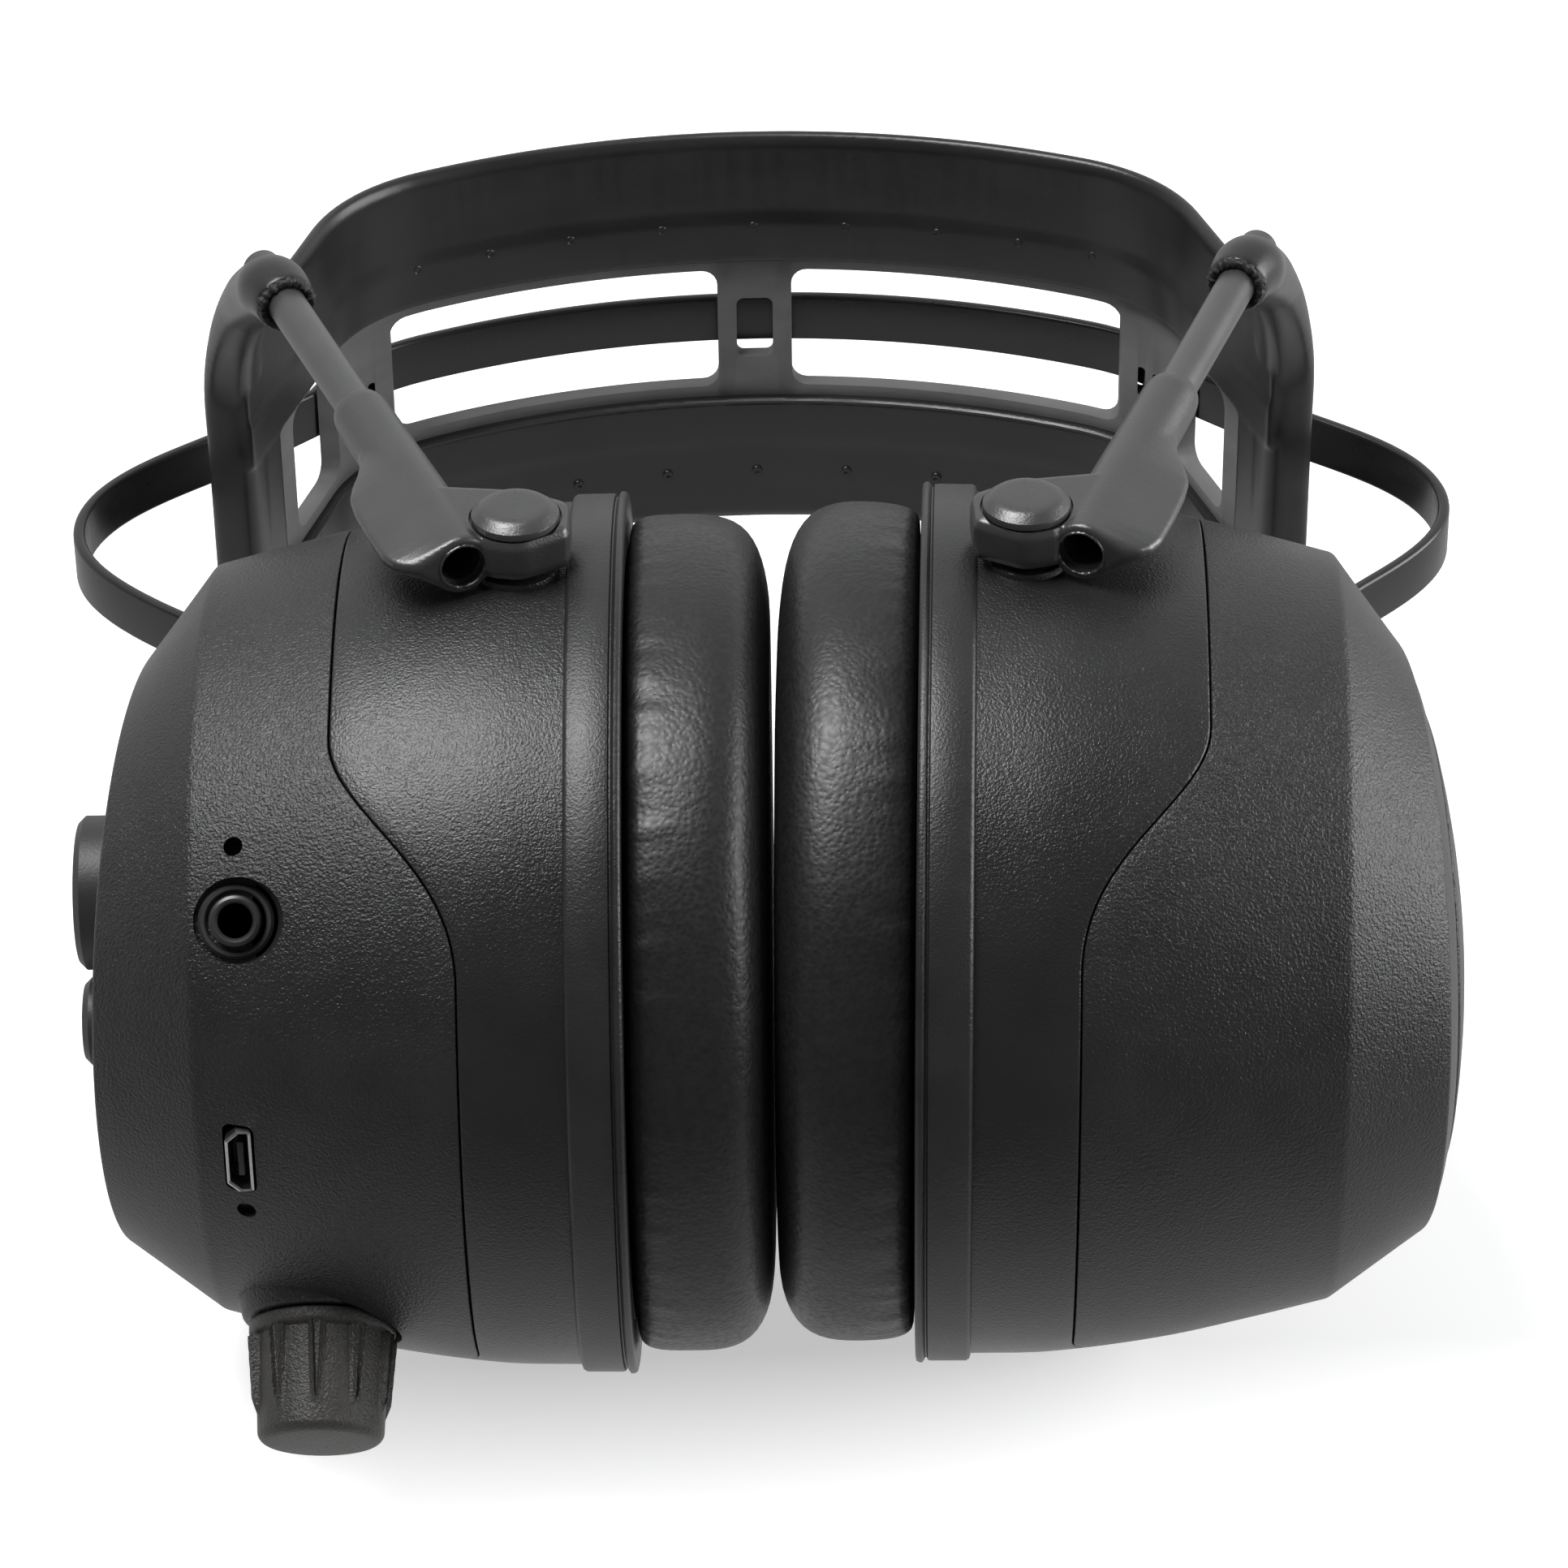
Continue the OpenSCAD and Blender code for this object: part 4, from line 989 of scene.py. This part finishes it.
# Half width of the sleeve and reach of its fin, both by the distance up the sleeve from its open end
SLEEVE = ((0, 3.35), (14, 3.35), (26, 3.2), (32.6, 3.15), (33.8, 3.0), (34.5, 2.7), (34.8, 2.35))
FIN = ((0, 4.9), (0.9, 6.2), (2.0, 7.1), (3.6, 7.6), (8.5, 7.6), (13, 7.4), (16, 7.0), (18.2, 6.0),
       (20.2, 4.8), (22.2, 3.9), (24.5, 3.3), (26, 3.2), (34.8, 2.35))
FIN_TIP, MOUTH_SOFT = 0.8, 0.45


def on_sleeve():
    """A bracket's frame: X away from the middle, Y up the sleeve from its open end."""
    return Matrix.Translation((SLEEVE_FOOT.x, SLEEVE_FOOT.y, ROD_Z)) @ Matrix.Rotation(-ROD_LEAN, 4, "Z")


def along_table(table, x):
    """Value at x of a table of pairs, straight between them."""
    for (x0, y0), (x1, y1) in zip(table, table[1:]):
        if x <= x1:
            return y0 + (y1 - y0) * (x - x0) / (x1 - x0)
    return table[-1][1]


def casting_part():
    """The sleeve with its fin: each section wraps the sleeve's circle and the fin's thin edge in one skin."""
    sides, sections = 64, 70
    rings = [(0.0, MOUTH_SOFT), (0.15, 0.15), (MOUTH_SOFT, 0.0)]
    rings += [(MOUTH_SOFT + (SLEEVE_L - MOUTH_SOFT) * k / sections, 0.0) for k in range(1, sections + 1)]
    points = []
    for station, shrink in rings:
        r = along_table(SLEEVE, station) - shrink
        w = max(along_table(FIN, station) - shrink, r + 0.001)
        tip = min(FIN_TIP, r * 0.9)
        apart = max(w - tip, 0.01)
        lean = (r - tip) / max(apart, r - tip + 0.001)
        for a in around(sides):
            c, s = math.cos(a), math.sin(a)
            if c > lean:
                points.append((apart + tip * c, station, 0.5 * min(1, apart / 4) + tip * s))
            else:
                points.append((r * c, station, r * s))
    return moved((points, capped(len(rings), sides)), on_sleeve())


def make_bracket(side, end):
    name = "%s_%s" % (side, end)
    corner = mirrored(SIDES[side], 1 if end == "front" else -1)
    along = on_sleeve() @ Matrix.Rotation(-QUARTER_TURN, 4, "X")
    on_pivot = Matrix.Translation((PIVOT_X, 0, 0))
    foot = SLEEVE_FOOT
    outline = [(foot.x - 2.7, foot.y + 0.2), (foot.x + 5 * ROD_DIR.x + 1.5, foot.y + 5 * ROD_DIR.y),
               (foot.x + 13 * ROD_DIR.x, foot.y + 13 * ROD_DIR.y), (PIVOT_X - 1, 6.2), (PIVOT_X - 5.8, 3.4),
               (PIVOT_X - 5.6, -2.3), (PIVOT_X - 0.5, -5.15)]
    outline = ring_round(outline, (0.8, 1, 1, 2.8, 2.2, 1.1, 3.0), 5)
    plate = prism(outline, PLATE_LOW, PLATE_HIGH, edge=1.2)
    skin = fused("bracket_casting_" + name, join(casting_part(), plate), voxel=0.23, relax=2)
    # The bore for the rod, its widened mouth, and the seat of the pivot's head
    bell = along @ Matrix.Diagonal((1.03, 1.16, 1, 1))
    for part, at in ((rod_part(ROD_R + 0.12, -3, 42, steps=48), along),
                     (rod_part(ROD_R + 0.13, -3, 1.3, steps=48), bell),
                     (rod_part(HEAD_R + 0.25, PLATE_HIGH - 0.5, 60), on_pivot)):
        skin = cut(skin, part, at)
    mouth = rough_ring(ROD_R + 0.3, height=-0.02, seed=5.0, bulk=0.16)
    casting = join(as_part(applied(skin)), moved(mouth, along))
    build("bracket_casting_" + name, casting, corner, BRACKET_NYLON, side + "_yoke",
          ["bracket_" + name], 40)
    # The stud's head has a fine parting line across it
    low, top = PLATE_HIGH - 0.45, STAND_Z
    stud = lathe([(46.9, 0), (46.9, 2), (low, 2), (low, HEAD_R - 0.3), (low + 0.2, HEAD_R),
                  (top - 1.1, HEAD_R), (top - 0.95, HEAD_R - 0.05), (top - 0.35, HEAD_R - 0.75),
                  (top - 0.15, HEAD_R - 1.05), (top - 0.04, HEAD_R - 1.5), (top, HEAD_R - 2.2), (top, 0)])
    line = box_part((-0.04, 1.6 - HEAD_R, top - 1.2), (0.04, HEAD_R - 1.6, top + 0.02))
    build("pivot_stud_" + name, join(stud, line), corner @ on_pivot, BRACKET_NYLON, side + "_yoke",
          ["pivot_pin_" + name], 25)


for side in SIDES:
    for end in ("front", "rear"):
        make_bracket(side, end)


# ---------------------------------------------------------------- flat lead
LEAD_W, LEAD_T, LEAD_SOFT = 6.5, 1.4, 0.55
LOOP = [(55.1, 112.8), (59.6, 108.3), (65.0, 103.7), (71.0, 99.5), (76.8, 95.0), (80.7, 89.7), (82.7, 83.6),
        (82.3, 77.5), (79.4, 72.0), (74.9, 67.0), (69.7, 62.5), (65.1, 58.6)]
GLAND_TIP = 43.6
# Each loop is split into two pieces at LOOP_SPLIT; LOOP_START and LOOP_END mark its two ends
LOOP_START, LOOP_SPLIT, LOOP_END = 113, 85, 52


def relaxed(line, rounds):
    """The same line with its bends evened out; its two ends stay."""
    for _ in range(rounds):
        inner = [p * 0.5 + (a + b) * 0.25 for a, p, b in zip(line, line[1:], line[2:])]
        line = [line[0], *inner, line[-1]]
    return line


def ribbon(line):
    """A flat lead with rounded edges along points in the plane of the band."""
    section = round_box(LEAD_T, LEAD_W, LEAD_SOFT, 4)
    return sweep([flat3(p, 0) for p in line], lambda i: section)


def in_cup(side, p):
    """A point of a cup's plane, turned with the cup into the band's plane."""
    turn = SIDES[side] * TURN[side]
    q = Vector(p) - Vector((PIVOT_X, 0))
    c, s = math.cos(turn), math.sin(turn)
    return Vector((PIVOT_X + q.x * c - q.y * s, q.x * s + q.y * c))


def lead_over_crown():
    out = WEB_T + 0.1 + LEAD_T / 2
    x, y = LOOP[0]
    held = [p + n * out for p, n in whole_band() if (p + n * 3).y > y + 0.5]
    build("lead_over_crown", ribbon([Vector((-x, y)), *held, Vector((x, y))]), BAND, LEAD_PVC, "headband",
          ["lead_crown"], 60)


def lead_loop(side):
    tail = [in_cup(side, (GLAND_U + 0.024 * y * y, GLAND_TIP + y)) for y in (12, 5, 0, -3)]
    line = relaxed(smooth_line(LOOP + tail), 60)
    middle = min(range(len(line)), key=lambda i: abs(line[i].y - LOOP_SPLIT))
    place = mirrored(SIDES[side])
    for where, stretch, first, second, start, end in (
            ("band", line[:middle + 1], "headband", side + "_yoke", LOOP_START, LOOP_SPLIT + 1),
            ("cup", line[middle:], side + "_yoke", side + "_cup", LOOP_SPLIT - 1, LOOP_END)):
        loop = build("lead_loop_%s_%s" % (where, side), ribbon(stretch), place, LEAD_PVC, None,
                     ["lead_loop_" + side], 60)
        start, end = [(place @ Vector((70, y, 0))) * MM for y in (start, end)]
        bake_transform(loop)


lead_over_crown()
for side in SIDES:
    lead_loop(side)


# ---------------------------------------------------------------- knob and buttons
def knob_relief(angle, r, t):
    """How far the knob's skin stands out at share t of its length: pairs of ridges, hollows between them."""
    sector = 2 * math.pi / 10
    near = abs(((angle / sector) % 1 - 0.5) * sector * r)       # millimetres from the middle of a pair
    fade = max(0.0, 1 - t / 0.86)
    apart = 0.2 + 0.36 * fade
    ridge = math.exp(-((near - apart) / 0.13) ** 2) * 0.55 * min(1, fade * 5)
    beyond = min(max((near - apart - 0.24) / 0.25, 0), 1)
    return ridge - 0.42 * (1 - t) * beyond * beyond * (3 - 2 * beyond)


def knob_part():
    """Ten grained panels between pairs of thin ridges that taper away before the knob's end."""
    steps, heights = 720, 48
    foot, top = KNOB_BASE + 1.62, KNOB_TIP - 1.3
    foot_r, top_r = KNOB_R - 0.3, KNOB_END_R + 0.05
    profile = [(KNOB_BASE, 3.1), (KNOB_BASE, KNOB_R - 0.35), (KNOB_BASE + 0.12, KNOB_R - 0.08),
               (KNOB_BASE + 0.35, KNOB_R), (KNOB_BASE + 1.2, KNOB_R), (KNOB_BASE + 1.45, KNOB_R - 0.1)]
    for k in range(heights + 1):
        t = k / heights
        profile.append((foot + (top - foot) * t, foot_r + (top_r - foot_r) * t))
    for k in range(1, 8):
        a = math.pi / 2 * k / 7
        profile.append((top + 1.15 * math.sin(a), top_r - 1.3 * (1 - math.cos(a))))
    profile += [(KNOB_TIP - 0.1, 4.6), (KNOB_TIP - 0.02, 3.2), (KNOB_TIP, 1.6), (KNOB_TIP, 0.01),
                (KNOB_TIP - 2.8, 0.01), (KNOB_TIP - 2.8, 3.1)]
    points = []
    for h, r in profile:
        t = (h - foot) / (top - foot)
        for a in around(steps):
            reach = r + (knob_relief(a, r, t) if 0 < t <= 1 and r > 5 else 0.0)
            points.append((reach * math.cos(a), reach * math.sin(a), h))
    return points, grid(len(profile), steps, close_rows=True)


build("knob_ridged", knob_part(), cup_place("left") @ KNOB, KNOB_RUBBER, "knob", ["volume_knob"], 50)


# ---------------------------------------------------------------- CAD nodes that keep their shape
def dress(material, *nodes):
    for node in nodes:
        mesh = CAD_NODES[node].data
        mesh.materials.clear()
        mesh.materials.append(material)


def both(*names):
    """The left and the right node of each name."""
    return [name.replace("SIDE", side) for name in names for side in SIDES]


dress(ROD_STEEL, *both("rod_SIDE_front", "rod_SIDE_rear"))
dress(INSIDE_PLASTIC, "tact_switches", "microphone", "battery_tray", "volume_control",
      *both("baffle_SIDE", "driver_frame_SIDE"))
dress(LEAD_PVC, *both("lead_gland_SIDE"))
dress(CONE_PAPER, *both("driver_cone_SIDE"))
dress(PLATED_STEEL, "board_screws", "tray_screws", *both("driver_magnet_SIDE", "baffle_screws_SIDE"))
dress(BOARD_RESIST, "control_board", "tuner_board")
dress(CELL_FILM, "battery_cells")
dress(LENS_ACRYLIC, "status_light")
dress(BUTTON_ABS, "button_main", "button_next", "button_back")


# ---------------------------------------------------------------- floor, lights and camera
def floor():
    """A pale table that reads white round the object and keeps its soft shadow."""
    material, tree, body, where = finish("paper_white", Roughness=0.9)
    tree.nodes.remove(body)
    paper = add(tree, "ShaderNodeBsdfDiffuse", {"Color": grey(0.8)}).outputs[0]
    # It lifts to white in front; in reflections it is dark in front and bright under and behind the object
    way = add(tree, "ShaderNodeSeparateXYZ", {0: where}).outputs["Y"]
    rise = add(tree, "ShaderNodeMapRange", {0: way, 1: -0.078, 2: -0.05, 3: 0.9, 4: 0.47}).outputs[0]
    shine = add(tree, "ShaderNodeMapRange", {0: way, 1: -0.19, 2: -0.1, 3: 0.12, 4: 0.6}).outputs[0]
    lift = add(tree, "ShaderNodeEmission", {"Color": grey(1.0), "Strength": rise}).outputs[0]
    dim = add(tree, "ShaderNodeEmission", {"Color": grey(1.0), "Strength": shine}).outputs[0]
    seen = add(tree, "ShaderNodeLightPath").outputs
    lifted = add(tree, "ShaderNodeAddShader", {0: paper, 1: lift}).outputs[0]
    plain = add(tree, "ShaderNodeMixShader", {0: seen["Is Glossy Ray"], 1: paper, 2: dim}).outputs[0]
    mixed = add(tree, "ShaderNodeMixShader", {0: seen["Is Camera Ray"], 1: plain, 2: lifted}).outputs[0]
    feed(tree, tree.nodes["Material Output"], {"Surface": mixed})
    mesh = bpy.data.meshes.new("table")
    half = 6
    corners = [(-half, -half, 0), (half, -half, 0), (half, half, 0), (-half, half, 0)]
    mesh.from_pydata(corners, [], [(0, 1, 2, 3)])
    mesh.materials.append(material)
    linked("table", mesh)


def world():
    """A bright wall behind and a dim room in front, both white to the camera."""
    surround = bpy.data.worlds.new("studio")
    surround.use_nodes = True
    tree = surround.node_tree
    tree.nodes.clear()
    where = add(tree, "ShaderNodeTexCoord").outputs["Generated"]
    way = add(tree, "ShaderNodeSeparateXYZ", {0: where}).outputs["Y"]
    glow = add(tree, "ShaderNodeMapRange", {0: way, 1: -0.3, 2: 0.9, 3: 0.14, 4: 0.85}).outputs[0]
    lit = add(tree, "ShaderNodeBackground", {"Color": linear("#f6f7f8"), "Strength": glow}).outputs[0]
    white = add(tree, "ShaderNodeBackground", {"Color": grey(1.0), "Strength": 1.0}).outputs[0]
    seen = add(tree, "ShaderNodeLightPath").outputs["Is Camera Ray"]
    mixed = add(tree, "ShaderNodeMixShader", {0: seen, 1: lit, 2: white}).outputs[0]
    add(tree, "ShaderNodeOutputWorld", {"Surface": mixed})
    bpy.context.scene.world = surround


def softbox(name, place, aim, width, height, power):
    """A rectangular lamp in metres and watts."""
    data = bpy.data.lights.new(name, "AREA")
    data.shape = "RECTANGLE"
    data.size = width
    data.size_y = height
    data.energy = power
    lamp = linked(name, data)
    lamp.location = place
    lamp.rotation_euler = (Vector(aim) - Vector(place)).to_track_quat("-Z", "Y").to_euler()


def set_camera():
    place, lens = Vector((-6.8, -561.4, 422.4)) * MM, 134.16
    down, right_turn, roll = math.radians(34), math.radians(0.86), math.radians(0.75)
    ahead, level = toward(math.pi / 2 - right_turn), toward(-right_turn).to_3d()
    look = Vector((*(ahead * math.cos(down)), -math.sin(down)))
    above = level.cross(look)
    right = level * math.cos(roll) - above * math.sin(roll)
    up = level * math.sin(roll) + above * math.cos(roll)
    data = bpy.data.cameras.new("camera")
    data.lens = lens
    data.sensor_width = 36
    data.clip_end = 50
    camera = linked("camera", data)
    camera.matrix_world = Matrix.Translation(place) @ Matrix((right, up, -look)).transposed().to_4x4()
    bpy.context.scene.camera = camera
    bpy.context.scene.view_settings.view_transform = "Standard"


floor()
world()
softbox("key", (-0.35, -0.1, 1.0), aim=(0, 0, 0.04), width=0.5, height=0.5, power=11)
softbox("right_panel", (0.75, -0.02, 0.27), aim=(0, 0, 0.06), width=0.7, height=0.45, power=6.3)
set_camera()
